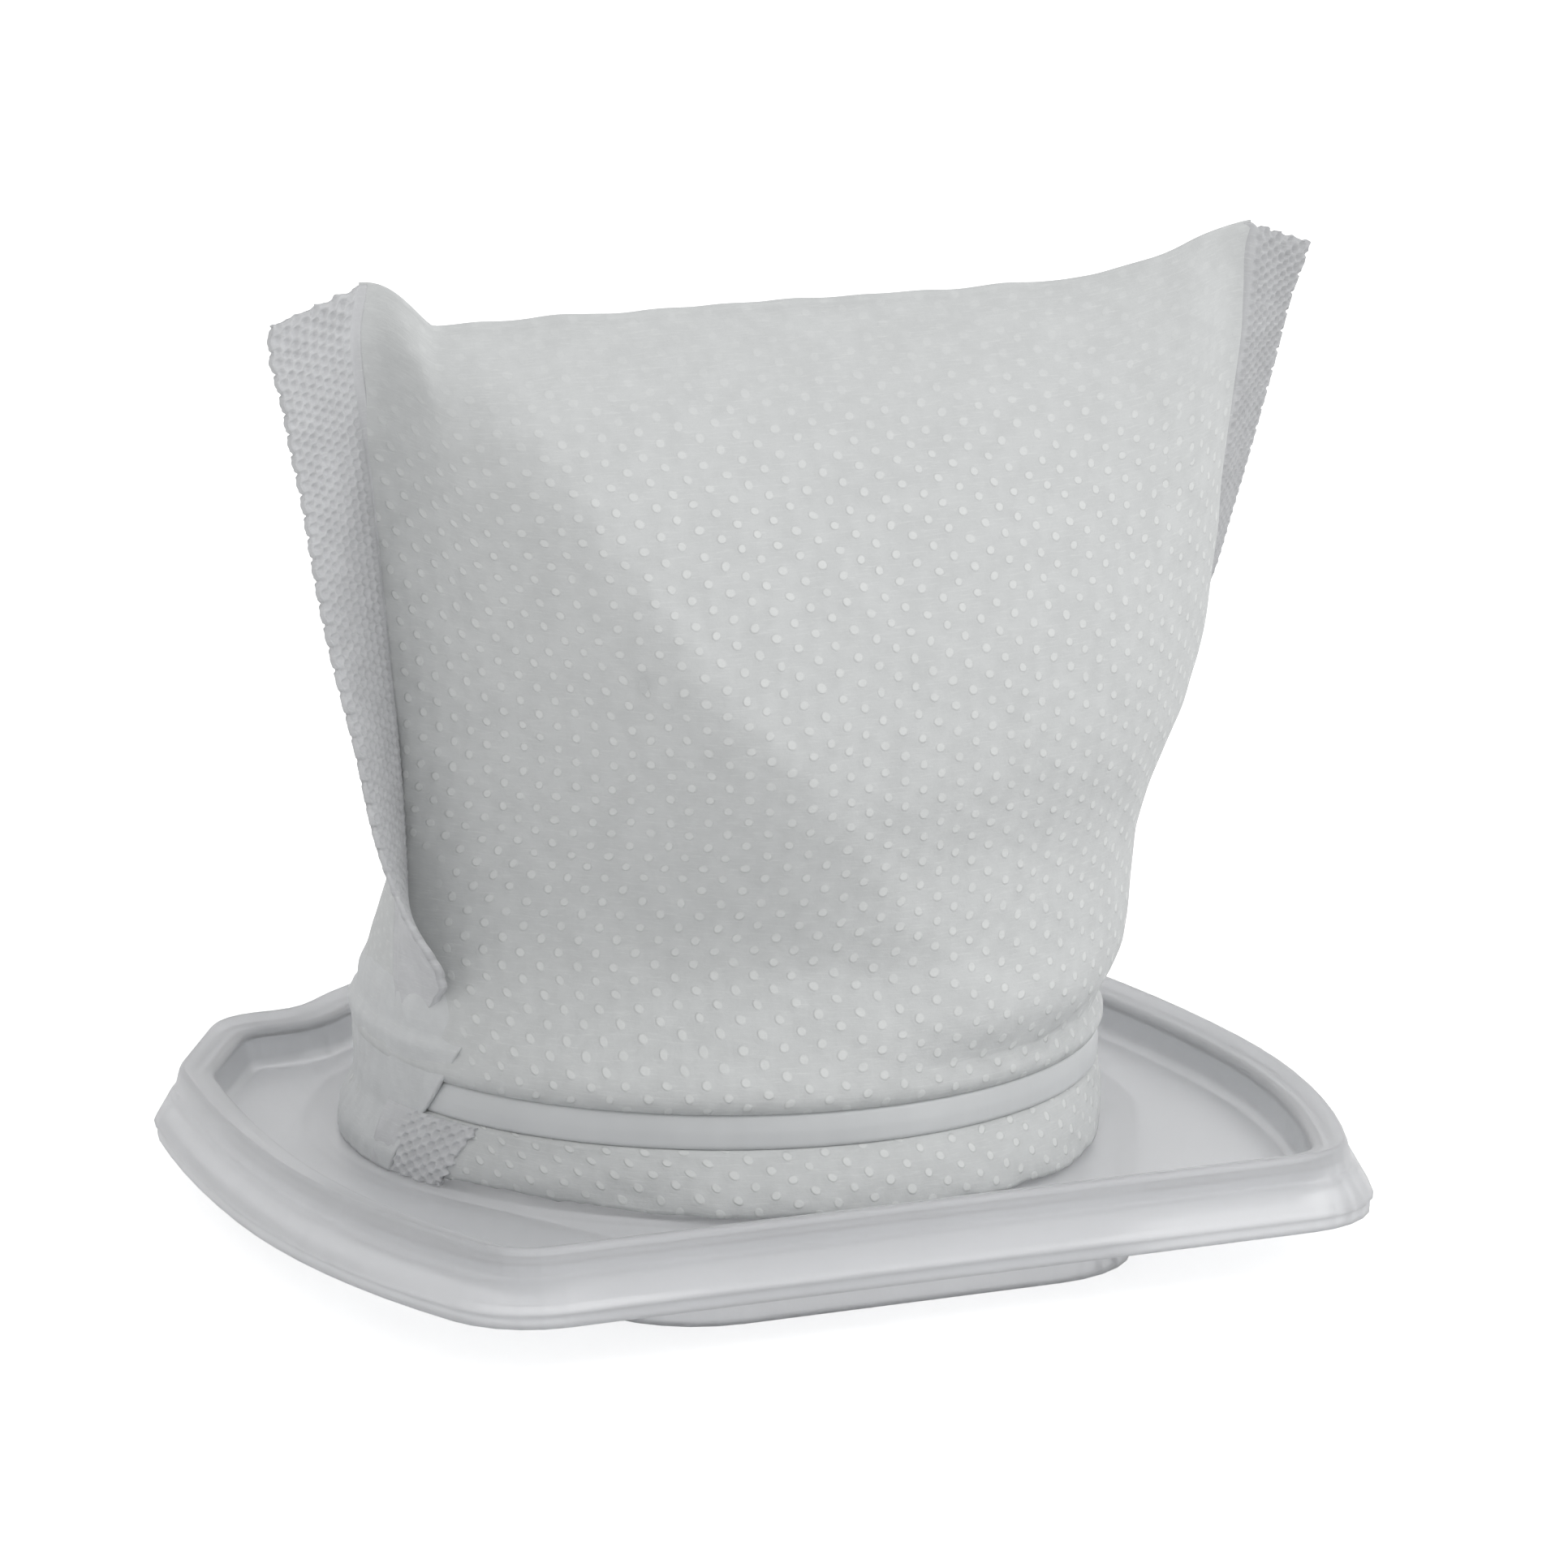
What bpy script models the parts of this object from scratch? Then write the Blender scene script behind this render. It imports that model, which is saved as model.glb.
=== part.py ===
"""Handheld vacuum filter: a moulded tray with a raised collar, a folded non-woven pouch
pulled over the collar, and a band that clamps the pouch there.

Metres, +Z up. The origin is below the middle of the tray, on the plane that the
locating wall under the tray stands on. -Y is the straight front edge of the tray.
"""
import math

import bmesh
import bpy
from mathutils import Vector

MM = 0.001

# Clearance kept between two pieces that touch
PLAY = 0.3 * MM

# Outline of the tray at its crest, seen from above
TRAY_WIDTH = 95.8 * MM
TRAY_DEPTH = 95.0 * MM
WIDEST_Y = -9.5 * MM
SIDE_FRONT_RADIUS = 88 * MM
SIDE_BACK_RADIUS = 175 * MM
FRONT_CORNER_RADIUS = 6.5 * MM
CHAMFER_BACK = 18.7 * MM
CHAMFER_ANGLE = 31.0
CHAMFER_EASE_RADIUS = 10 * MM
BACK_CORNER_RADIUS = 6.0 * MM
SHOULDER_DROP = 12.8 * MM
BULGE_RADIUS = 38 * MM
BULGE_FILLET = 6.0 * MM

# Heights of the tray's features above the plane it stands on
WALL_DROP = 4.9 * MM
FLOOR_HEIGHT = 2.2 * MM
RIM_HEIGHT = 6.4 * MM
STEP_HEIGHT = 4.1 * MM
LIP_HEIGHT = 1.3 * MM

# How far each edge of the two-tier skirt stands out from the crest
SKIRT_FLARE = 2.7 * MM
STEP_FLARE = 1.25 * MM
STEP_LEDGE = 0.45 * MM
UPPER_DRAFT = 0.5 * MM
LIP_INSET = 0.3 * MM

# Ridge round the tray and the wall inside it
RIDGE_WIDTH = 2.6 * MM
RIDGE_FALL = 0.7 * MM
INNER_DRAFT = 0.8 * MM
FLOOR_FILLET = 0.6 * MM
TRAY_WALL = 1.4 * MM
EDGE_EASE = 0.3 * MM
FRONT_STEPS = 9

# Collar that carries the pouch
COLLAR_Y = -1.2 * MM
COLLAR_RADIUS = 31.7 * MM
COLLAR_TOP = 12.9 * MM
COLLAR_FOOT_WIDTH = 5.4 * MM
COLLAR_FOOT_HEIGHT = 1.2 * MM
FOOT_STEPS = 4

# Locating wall under the tray
LOCATOR_Y = 0.6 * MM
LOCATOR_WALL = 1.5 * MM
LOCATOR_RADIUS = 38.1 * MM
LOCATOR_FRONT_Y = -40.3 * MM
LOCATOR_FLAT_WIDTH = 30 * MM
LOCATOR_CORNER = 11 * MM
LOCATOR_BITE = 0.35 * MM

# Clamping band
BAND_BOTTOM = 8.2 * MM
BAND_HEIGHT = 3.1 * MM
BAND_WALL = 0.7 * MM
BAND_CROWN = 0.1 * MM
BAND_EDGE = 0.2 * MM
BAND_STEPS = 72

# Pouch: cloth, neck and hem
CLOTH = 0.8 * MM
CLOTH_UNDER_BAND = 0.6 * MM
NECK_SWELL = 0.7 * MM
HEM_BOTTOM = 2.9 * MM
HEM_FLARE = 0.7 * MM
HEM_MIDDLE_SHARE = 0.35
GROOVE_EASE = 0.5 * MM
BODY_START = 14.1 * MM

# Pouch: top fold and weld fins
POUCH_HEIGHT = 84.5 * MM
TOP_HALF_WIDTH = 41.2 * MM
TOP_CENTRE_X = 1.2 * MM
TOP_CENTRE_Y = -18.0 * MM
TOP_TURN = -3.5
NECK_TURN = 7.0
FOLD_HALF_DEPTH = 1.1 * MM
LEFT_EAR = 4.3 * MM
LEFT_EAR_START = 0.84
LEFT_EAR_POWER = 1.3
LEFT_EAR_ROUNDING = 2.3
RIGHT_EAR = 4.0 * MM
RIGHT_EAR_START = 0.45
RIGHT_EAR_POWER = 3.0
RIGHT_EAR_ROUNDING = 1.6
EAR_FADE_POWER = 3
FIN_WIDTH = 8.9 * MM
FIN_THICKNESS = 0.9 * MM
FIN_ROOT = 0.6 * MM
FIN_TOP_FALL = 2.2 * MM
FIN_FALL_POWER = 6
FIN_STEPS = 14

# Derived places shared by more than one piece
SKIRT_BOTTOM = WALL_DROP
COLLAR_CENTRE = Vector((0.0, COLLAR_Y))
GROOVE_RADIUS = COLLAR_RADIUS + PLAY + CLOTH_UNDER_BAND
BAND_INNER = GROOVE_RADIUS + PLAY
NECK_RADIUS = GROOVE_RADIUS + CLOTH - CLOTH_UNDER_BAND + NECK_SWELL

# How the pouch changes from its neck (0) to its top fold (1): height share, then
# how far each seam has moved from its place at the neck to its place at the top
# (left across, left forward, right across, right forward), then the front and
# back depth as a share of the neck's, and how pointed the section is
POUCH_SHAPE = [
    (0.00, 0.00, 0.00, 0.00, 0.00, 1.00, 1.00, 1.00),
    (0.06, 0.00, 0.03, 0.07, 0.02, 1.01, 0.93, 1.00),
    (0.14, 0.00, 0.06, 0.26, 0.07, 0.94, 0.78, 1.00),
    (0.26, -0.02, 0.12, 0.59, 0.18, 0.86, 0.61, 1.05),
    (0.40, 0.11, 0.25, 0.81, 0.43, 0.82, 0.52, 1.10),
    (0.52, 0.29, 0.38, 0.96, 0.61, 0.74, 0.45, 1.15),
    (0.64, 0.48, 0.52, 1.02, 0.73, 0.62, 0.37, 1.20),
    (0.76, 0.68, 0.66, 1.04, 0.84, 0.46, 0.28, 1.25),
    (0.87, 0.93, 0.82, 1.04, 0.93, 0.28, 0.18, 1.30),
    (0.95, 1.06, 0.93, 1.03, 0.97, 0.13, 0.09, 1.35),
    (1.00, 1.00, 1.00, 1.00, 1.00, 0.00, 0.00, 1.40),
]

# How the weld fins turn away from the pouch: height share, left fin's angle
# towards the front, right fin's angle towards the back, share of the full width
FIN_SHAPE = [
    (0.04, 97.0, 95.0, 0.30),
    (0.10, 90.0, 88.0, 0.70),
    (0.20, 68.0, 80.0, 1.00),
    (0.30, 55.0, 74.0, 1.00),
    (0.43, 46.0, 66.0, 1.00),
    (0.62, 33.0, 55.0, 1.00),
    (0.82, 27.0, 48.0, 1.00),
    (0.92, 24.0, 41.0, 1.00),
    (1.00, 10.0, 27.0, 1.00),
]

# Points along each half of a pouch section, how far the hollow runs out below the
# hem, and how far it runs up past the last row but one of the table
SIDE_POINTS = 20
CAVITY_DROP = 4 * MM
CAVITY_TOP_SHARE = 0.01


def clear_scene():
    for obj in list(bpy.data.objects):
        bpy.data.objects.remove(obj, do_unlink=True)


def new_collection(name):
    group = bpy.data.collections.new(name)
    bpy.context.scene.collection.children.link(group)
    return group


def make_material(name, colour, roughness, transmission=0.0):
    material = bpy.data.materials.new(name)
    material.use_nodes = True
    shader = material.node_tree.nodes["Principled BSDF"]
    shader.inputs["Base Color"].default_value = (*colour, 1.0)
    shader.inputs["Roughness"].default_value = roughness
    shader.inputs["Metallic"].default_value = 0.0
    shader.inputs["Transmission Weight"].default_value = transmission
    return material


def object_from_bmesh(bm, name, group, material=None):
    mesh = bpy.data.meshes.new(name)
    bm.normal_update()
    bm.to_mesh(mesh)
    bm.free()
    if material:
        mesh.materials.append(material)
    obj = bpy.data.objects.new(name, mesh)
    group.objects.link(obj)
    return obj


def shade(obj, degrees=32):
    obj.data.shade_smooth()
    obj.data.set_sharp_from_angle(angle=math.radians(degrees))


def add_boolean(obj, cutter, operation):
    cut = obj.modifiers.new(operation.title(), "BOOLEAN")
    cut.operation = operation
    cut.solver = "EXACT"
    cut.object = cutter


def mark_as_cutter(obj):
    obj.hide_render = True
    obj.display_type = "WIRE"


def bridge(bm, ring_a, ring_b):
    """Quads between two closed rings of equally many vertices."""
    count = len(ring_a)
    for i in range(count):
        j = (i + 1) % count
        bm.faces.new((ring_a[i], ring_a[j], ring_b[j], ring_b[i]))


def arc(centre, radius, start, end, steps, hollow=False):
    """Points and outward normals along an arc; hollow where the material lies outside it."""
    points = []
    for i in range(steps + 1):
        angle = start + (end - start) * i / steps
        direction = Vector((math.cos(angle), math.sin(angle)))
        normal = -direction if hollow else direction
        points.append((centre + direction * radius, normal))
    return points


def direction_angle(vector):
    return math.atan2(vector.y, vector.x)


def tray_outline():
    """Crest outline with its outward normals, counter-clockwise from the middle of the front."""
    front_y = -TRAY_DEPTH / 2
    back_y = TRAY_DEPTH / 2 - SHOULDER_DROP
    fore_side = Vector((TRAY_WIDTH / 2 - SIDE_FRONT_RADIUS, WIDEST_Y))
    back_side = Vector((TRAY_WIDTH / 2 - SIDE_BACK_RADIUS, WIDEST_Y))

    def corner(side, side_radius, y, radius):
        reach = side_radius - radius
        return Vector((side.x + math.sqrt(reach ** 2 - (y - side.y) ** 2), y))

    front_centre_y = front_y + FRONT_CORNER_RADIUS
    front = corner(fore_side, SIDE_FRONT_RADIUS, front_centre_y, FRONT_CORNER_RADIUS)
    front_turn = direction_angle(front - fore_side)

    chamfer_turn = math.radians(CHAMFER_ANGLE)
    ease = corner(back_side, SIDE_BACK_RADIUS, back_y - CHAMFER_BACK, CHAMFER_EASE_RADIUS)
    ease_turn = direction_angle(ease - back_side)
    chamfer_normal = Vector((math.cos(chamfer_turn), math.sin(chamfer_turn)))
    chamfer_start = ease + chamfer_normal * CHAMFER_EASE_RADIUS
    back_centre_y = back_y - BACK_CORNER_RADIUS
    along = Vector((-chamfer_normal.y, chamfer_normal.x))
    chamfer_run = (back_centre_y + BACK_CORNER_RADIUS * chamfer_normal.y - chamfer_start.y) / along.y
    back = chamfer_start + along * chamfer_run - chamfer_normal * BACK_CORNER_RADIUS

    bulge = Vector((0.0, TRAY_DEPTH / 2 - BULGE_RADIUS))
    hollow_y = back_y + BULGE_FILLET
    reach = BULGE_RADIUS + BULGE_FILLET
    hollow = Vector((math.sqrt(reach ** 2 - (hollow_y - bulge.y) ** 2), hollow_y))
    bulge_turn = direction_angle(hollow - bulge)
    quarter = math.pi / 2

    half = []
    for i in range(FRONT_STEPS):
        half.append((Vector((front.x * i / FRONT_STEPS, front_y)), Vector((0, -1))))
    half += arc(front, FRONT_CORNER_RADIUS, -quarter, front_turn, 5)
    half += arc(fore_side, SIDE_FRONT_RADIUS, front_turn, 0.0, 8)[1:]
    half += arc(back_side, SIDE_BACK_RADIUS, 0.0, ease_turn, 5)[1:]
    half += arc(ease, CHAMFER_EASE_RADIUS, ease_turn, chamfer_turn, 2)[1:]
    half.append((chamfer_start + along * chamfer_run / 2, chamfer_normal))
    half += arc(back, BACK_CORNER_RADIUS, chamfer_turn, quarter, 4)
    half += arc(hollow, BULGE_FILLET, -quarter, bulge_turn - math.pi, 3, hollow=True)
    half += arc(bulge, BULGE_RADIUS, bulge_turn, quarter, 8)[1:]

    mirrored = []
    for point, normal in reversed(half[1:-1]):
        mirrored.append((Vector((-point.x, point.y)), Vector((-normal.x, normal.y))))
    return half + mirrored


def tray_profile():
    """Distance out from the crest and height, from the bottom of the skirt to the floor."""
    bottom = SKIRT_BOTTOM
    crest = bottom + RIM_HEIGHT
    floor = bottom + FLOOR_HEIGHT
    step = bottom + STEP_HEIGHT
    inner_foot = -RIDGE_WIDTH - INNER_DRAFT
    return [
        (SKIRT_FLARE - LIP_INSET, bottom),
        (SKIRT_FLARE - LIP_INSET, bottom + LIP_HEIGHT - EDGE_EASE),
        (SKIRT_FLARE, bottom + LIP_HEIGHT),
        (STEP_FLARE, step - EDGE_EASE),
        (STEP_FLARE - STEP_LEDGE, step),
        (STEP_FLARE - STEP_LEDGE - UPPER_DRAFT, crest - EDGE_EASE),
        (0.0, crest),
        (-RIDGE_WIDTH, crest - RIDGE_FALL),
        (-RIDGE_WIDTH - EDGE_EASE, crest - RIDGE_FALL - EDGE_EASE),
        (inner_foot, floor + FLOOR_FILLET),
        (inner_foot - FLOOR_FILLET, floor),
    ]


def collar_profile():
    """Radius and height from the floor, up the hollow foot, to the top of the collar."""
    floor = SKIRT_BOTTOM + FLOOR_HEIGHT
    rings = []
    for i in range(FOOT_STEPS + 1):
        turn = math.pi / 2 * i / FOOT_STEPS
        radius = COLLAR_RADIUS + COLLAR_FOOT_WIDTH * (1 - math.sin(turn))
        rings.append((radius, floor + COLLAR_FOOT_HEIGHT * (1 - math.cos(turn))))
    rings.append((COLLAR_RADIUS, SKIRT_BOTTOM + COLLAR_TOP))
    return rings


def locator_ring(inset):
    """Plan of the locating wall: a flat front, slanted sides and a round rear."""
    corner = LOCATOR_CORNER - inset
    radius = LOCATOR_RADIUS - inset
    start = Vector((LOCATOR_FLAT_WIDTH / 2, LOCATOR_FRONT_Y + LOCATOR_CORNER))
    centre = Vector((0.0, LOCATOR_Y))
    to_start = start - centre
    # The slanted side touches the corner arc and the round rear
    turn = math.acos((radius - corner) / to_start.length) + direction_angle(to_start)
    right = arc(start, corner, -math.pi / 2, turn, 5)
    middle = arc(centre, radius, turn, math.pi - turn, 36)
    left = [(Vector((-point.x, point.y)), normal) for point, normal in reversed(right)]
    return [point for point, _ in right + middle + left]


def build_locator(group):
    """The wall under the tray: a closed ring of two outlines."""
    top = SKIRT_BOTTOM + FLOOR_HEIGHT - LOCATOR_BITE
    outer = locator_ring(0.0)
    inner = locator_ring(LOCATOR_WALL)
    bm = bmesh.new()
    rings = []
    for plan, height in ((outer, 0.0), (outer, top), (inner, top), (inner, 0.0)):
        rings.append([bm.verts.new((p.x, p.y, height)) for p in plan])
    for i in range(4):
        bridge(bm, rings[i], rings[(i + 1) % 4])
    bmesh.ops.recalc_face_normals(bm, faces=bm.faces)
    return object_from_bmesh(bm, "locating_wall_shape", group)


def build_tray(group, cutters, material):
    """One shell: skirt, ridge, floor and collar, with the locating wall joined below."""
    outline = tray_outline()
    bm = bmesh.new()
    rings = []
    for out, height in tray_profile():
        ring = []
        for point, normal in outline:
            place = point + normal * out
            ring.append(bm.verts.new((place.x, place.y, height)))
        rings.append(ring)
    for radius, height in collar_profile():
        ring = []
        for point, _ in outline:
            place = COLLAR_CENTRE + (point - COLLAR_CENTRE).normalized() * radius
            ring.append(bm.verts.new((place.x, place.y, height)))
        rings.append(ring)
    for lower, upper in zip(rings, rings[1:]):
        bridge(bm, lower, upper)
    tray = object_from_bmesh(bm, "filter_tray", group, material)

    wall = tray.modifiers.new("Wall", "SOLIDIFY")
    wall.thickness = TRAY_WALL
    wall.offset = -1.0
    wall.use_even_offset = True
    wall.thickness_clamp = 0.0

    locator = build_locator(cutters)
    mark_as_cutter(locator)
    add_boolean(tray, locator, "UNION")
    shade(tray)
    return tray


def build_band(group, material):
    """The clamping band: a turned ring with a slightly crowned outside."""
    low = SKIRT_BOTTOM + BAND_BOTTOM
    high = low + BAND_HEIGHT
    outer = BAND_INNER + BAND_WALL
    profile = [
        (BAND_INNER, high),
        (outer - BAND_EDGE, high),
        (outer, high - BAND_EDGE),
        (outer + BAND_CROWN, (low + high) / 2),
        (outer, low + BAND_EDGE),
        (outer - BAND_EDGE, low),
        (BAND_INNER, low),
    ]
    bm = bmesh.new()
    verts = [bm.verts.new((radius, 0, height)) for radius, height in profile]
    for i, vert in enumerate(verts):
        bm.edges.new((vert, verts[(i + 1) % len(verts)]))
    band = object_from_bmesh(bm, "clamp_band", group, material)
    band.location = (COLLAR_CENTRE.x, COLLAR_CENTRE.y, 0)
    turn = band.modifiers.new("Turn", "SCREW")
    turn.axis = "Z"
    turn.steps = BAND_STEPS
    turn.render_steps = BAND_STEPS
    turn.use_merge_vertices = True
    turn.merge_threshold = 0.0001
    shade(band)
    return band


def blend_rows(rows, share):
    """Smooth value of each column of a table at a height share."""
    last = len(rows) - 1
    k = 0
    while k < last - 1 and share > rows[k + 1][0]:
        k += 1
    low, high = rows[k], rows[k + 1]
    before = rows[max(k - 1, 0)]
    after = rows[min(k + 2, last)]
    span = high[0] - low[0]
    t = min(max((share - low[0]) / span, 0.0), 1.0)
    values = []
    for column in range(1, len(low)):
        slope_low = (high[column] - before[column]) / (high[0] - before[0]) * span
        slope_high = (after[column] - low[column]) / (after[0] - low[0]) * span
        a = 2 * t ** 3 - 3 * t ** 2 + 1
        b = t ** 3 - 2 * t ** 2 + t
        c = -2 * t ** 3 + 3 * t ** 2
        d = t ** 3 - t ** 2
        values.append(a * low[column] + b * slope_low + c * high[column] + d * slope_high)
    return values


def ear_rise(across):
    """Height of the top fold above its flat middle; across runs from -1 at the left seam to 1."""
    left = max(0.0, (-across - LEFT_EAR_START) / (1 - LEFT_EAR_START)) ** LEFT_EAR_POWER
    right = max(0.0, (across - RIGHT_EAR_START) / (1 - RIGHT_EAR_START)) ** RIGHT_EAR_POWER
    rise = LEFT_EAR * (1 - (1 - min(left, 1.0)) ** LEFT_EAR_ROUNDING)
    return rise + RIGHT_EAR * (1 - (1 - min(right, 1.0)) ** RIGHT_EAR_ROUNDING)


def seam_place(side, across_share, forward_share):
    """Plan position of a seam; side is -1 for the left seam and 1 for the right one."""
    neck_angle = math.radians(NECK_TURN)
    top_angle = math.radians(TOP_TURN)
    neck = COLLAR_CENTRE + Vector((math.cos(neck_angle), math.sin(neck_angle))) * NECK_RADIUS * side
    top = Vector((TOP_CENTRE_X, TOP_CENTRE_Y))
    top += Vector((math.cos(top_angle), math.sin(top_angle))) * TOP_HALF_WIDTH * side
    return Vector((
        neck.x + (top.x - neck.x) * across_share,
        neck.y + (top.y - neck.y) * forward_share,
    ))


def pouch_section(share):
    """Both seams, front and back depth, and pointedness at a height share."""
    left_x, left_y, right_x, right_y, front, back, point = blend_rows(POUCH_SHAPE, share)
    left = seam_place(-1, left_x, left_y)
    right = seam_place(1, right_x, right_y)
    front = FOLD_HALF_DEPTH + (NECK_RADIUS - FOLD_HALF_DEPTH) * front
    back = FOLD_HALF_DEPTH + (NECK_RADIUS - FOLD_HALF_DEPTH) * back
    return left, right, front, back, point


def body_height(share, across):
    start = SKIRT_BOTTOM + BODY_START
    flat = start + (POUCH_HEIGHT - start) * share
    return flat + ear_rise(across) * share ** EAR_FADE_POWER


def body_ring(share, inset=0.0, drop=0.0):
    """Points round the pouch, from the left seam along the front to the right seam and back."""
    left, right, front, back, point = pouch_section(share)
    centre = (left + right) / 2
    half = (right - left).length / 2
    across = (right - left).normalized()
    forward = Vector((across.y, -across.x))
    ring = []
    for i in range(2 * SIDE_POINTS):
        angle = math.pi * i / SIDE_POINTS
        depth = front if i <= SIDE_POINTS else back
        cosine = -math.cos(angle)
        sine = math.sin(angle)
        swing = math.copysign(abs(sine) ** point, sine) if i % SIDE_POINTS else 0.0
        place = centre + across * (half - inset) * cosine + forward * (depth - inset) * swing
        ring.append((place.x, place.y, body_height(share, cosine) - drop))
    return ring


def round_ring(radius, height):
    """The same points on a plain circle about the collar."""
    angle = math.radians(NECK_TURN)
    across = Vector((math.cos(angle), math.sin(angle)))
    forward = Vector((across.y, -across.x))
    ring = []
    for i in range(2 * SIDE_POINTS):
        turn = math.pi * i / SIDE_POINTS
        place = COLLAR_CENTRE - across * radius * math.cos(turn) + forward * radius * math.sin(turn)
        ring.append((place.x, place.y, height))
    return ring


def neck_rings():
    """Hem, groove under the band and the neck above it: outer radius, wall and height."""
    bottom = SKIRT_BOTTOM
    band_low = bottom + BAND_BOTTOM - PLAY
    band_high = bottom + BAND_BOTTOM + BAND_HEIGHT + PLAY
    middle = (HEM_BOTTOM + BAND_BOTTOM) / 2
    return [
        (NECK_RADIUS + HEM_FLARE, CLOTH, bottom + HEM_BOTTOM),
        (NECK_RADIUS + HEM_FLARE * HEM_MIDDLE_SHARE, CLOTH, bottom + middle),
        (NECK_RADIUS, CLOTH, band_low - GROOVE_EASE),
        (GROOVE_RADIUS, CLOTH_UNDER_BAND, band_low),
        (GROOVE_RADIUS, CLOTH_UNDER_BAND, band_high),
        (NECK_RADIUS, CLOTH, band_high + GROOVE_EASE),
    ]


def loft(rings, name, group, material=None):
    """A closed solid through rings that share one point order, folded shut at both ends."""
    bm = bmesh.new()
    loops = [[bm.verts.new(place) for place in ring] for ring in rings]
    for lower, upper in zip(loops, loops[1:]):
        bridge(bm, lower, upper)
    for loop in (loops[0], loops[-1]):
        half = len(loop) // 2
        for i in range(half):
            near, far = loop[i], loop[i + 1]
            across_near, across_far = loop[-i], loop[-i - 1]
            face = [near, far, across_far, across_near]
            unique = []
            for vert in face:
                if vert not in unique:
                    unique.append(vert)
            bm.faces.new(unique)
    bmesh.ops.recalc_face_normals(bm, faces=bm.faces)
    return object_from_bmesh(bm, name, group, material)


def build_fin(side, group):
    """A weld fin along one seam: side is -1 on the left and 1 on the right."""
    bm = bmesh.new()
    sections = []
    first = FIN_SHAPE[0][0]
    for i in range(FIN_STEPS + 1):
        share = first + (1 - first) * i / FIN_STEPS
        left, right, _, _, _ = pouch_section(share)
        seam = left if side < 0 else right
        left_turn, right_turn, width = blend_rows(FIN_SHAPE, share)
        turn = left_turn if side < 0 else right_turn
        angle = math.radians(turn)
        out = Vector((side * math.cos(angle), math.copysign(math.sin(angle), side)))
        flat = Vector((-out.y, out.x)) * FIN_THICKNESS / 2
        root = seam - out * FIN_ROOT
        tip = seam + out * FIN_WIDTH * width
        high = body_height(share, side)
        low = high - FIN_TOP_FALL * share ** FIN_FALL_POWER
        section = []
        for place, height in ((root - flat, high), (tip - flat, low), (tip + flat, low), (root + flat, high)):
            section.append(bm.verts.new((place.x, place.y, height)))
        sections.append(section)
    for lower, upper in zip(sections, sections[1:]):
        bridge(bm, lower, upper)
    bm.faces.new(sections[0])
    bm.faces.new(sections[-1])
    bmesh.ops.recalc_face_normals(bm, faces=bm.faces)
    return object_from_bmesh(bm, "fin_shape", group)


def build_pouch(group, cutters, material):
    """Cloth shell with a welded fin at each side, open at the hem."""
    necks = neck_rings()
    shares = [row[0] for row in POUCH_SHAPE]
    outer = [round_ring(radius, height) for radius, _, height in necks]
    outer += [body_ring(share) for share in shares]
    pouch = loft(outer, "filter_pouch", group, material)

    for side in (-1, 1):
        fin = build_fin(side, cutters)
        mark_as_cutter(fin)
        add_boolean(pouch, fin, "UNION")

    inner = [round_ring(necks[0][0] - CLOTH, necks[0][2] - CAVITY_DROP)]
    inner += [round_ring(radius - wall, height) for radius, wall, height in necks]
    inner += [body_ring(share, CLOTH) for share in shares[:-2]]
    hollow_top = shares[-2] + CAVITY_TOP_SHARE
    inner.append(body_ring(hollow_top, CLOTH))
    cavity = loft(inner, "cavity_shape", cutters)
    mark_as_cutter(cavity)
    add_boolean(pouch, cavity, "DIFFERENCE")
    shade(pouch)
    return pouch


def main():
    clear_scene()
    parts = new_collection("vacuum_filter")
    cutters = new_collection("vacuum_filter_cutters")
    plastic = make_material("frosted_plastic", (0.50, 0.51, 0.53), 0.32, 0.25)
    cloth = make_material("nonwoven_cloth", (0.60, 0.61, 0.60), 0.85)
    soft = make_material("band_plastic", (0.46, 0.47, 0.48), 0.45, 0.2)
    build_tray(parts, cutters, plastic)
    build_band(parts, soft)
    build_pouch(parts, cutters, cloth)


main()
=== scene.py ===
"""Looks of the handheld vacuum filter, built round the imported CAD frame.

Metres, +Z up, in the same frame as the CAD. The tray and the clamp band are the CAD's
own nodes with new materials. The cloth is built here: the pouch's panels, the two weld
fins, the seam gusset that is folded over the band at the left, and the hem flap under it.
"""

import math

import bmesh
import bpy
import numpy as np
from mathutils import Matrix, Vector, noise


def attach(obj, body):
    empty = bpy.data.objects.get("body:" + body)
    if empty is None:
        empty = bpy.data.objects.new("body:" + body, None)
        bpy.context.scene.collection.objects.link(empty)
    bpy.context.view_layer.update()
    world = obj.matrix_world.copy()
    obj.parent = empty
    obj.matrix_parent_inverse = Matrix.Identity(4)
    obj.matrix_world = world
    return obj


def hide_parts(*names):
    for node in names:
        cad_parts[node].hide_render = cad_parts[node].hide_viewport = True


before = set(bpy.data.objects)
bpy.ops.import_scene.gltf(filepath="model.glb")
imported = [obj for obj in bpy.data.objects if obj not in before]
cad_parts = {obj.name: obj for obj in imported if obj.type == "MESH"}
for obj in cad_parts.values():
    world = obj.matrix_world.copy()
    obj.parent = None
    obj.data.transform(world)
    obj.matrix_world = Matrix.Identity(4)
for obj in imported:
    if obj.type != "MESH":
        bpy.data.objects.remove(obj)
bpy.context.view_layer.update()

MM = 0.001
IMAGE_SIZE = 1932

# Camera, solved from the photograph
CAMERA_AZIMUTH = -23.4
CAMERA_PITCH = 13.1
CAMERA_DISTANCE = 666.7 * MM
CAMERA_FOCUS_PIXELS = 9000.0
CAMERA_AIM = (0.0, -0.5 * MM, 9.9 * MM)
CAMERA_AIM_PIXEL = (893.0, 1332.0)
SENSOR_WIDTH = 36.0

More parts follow.
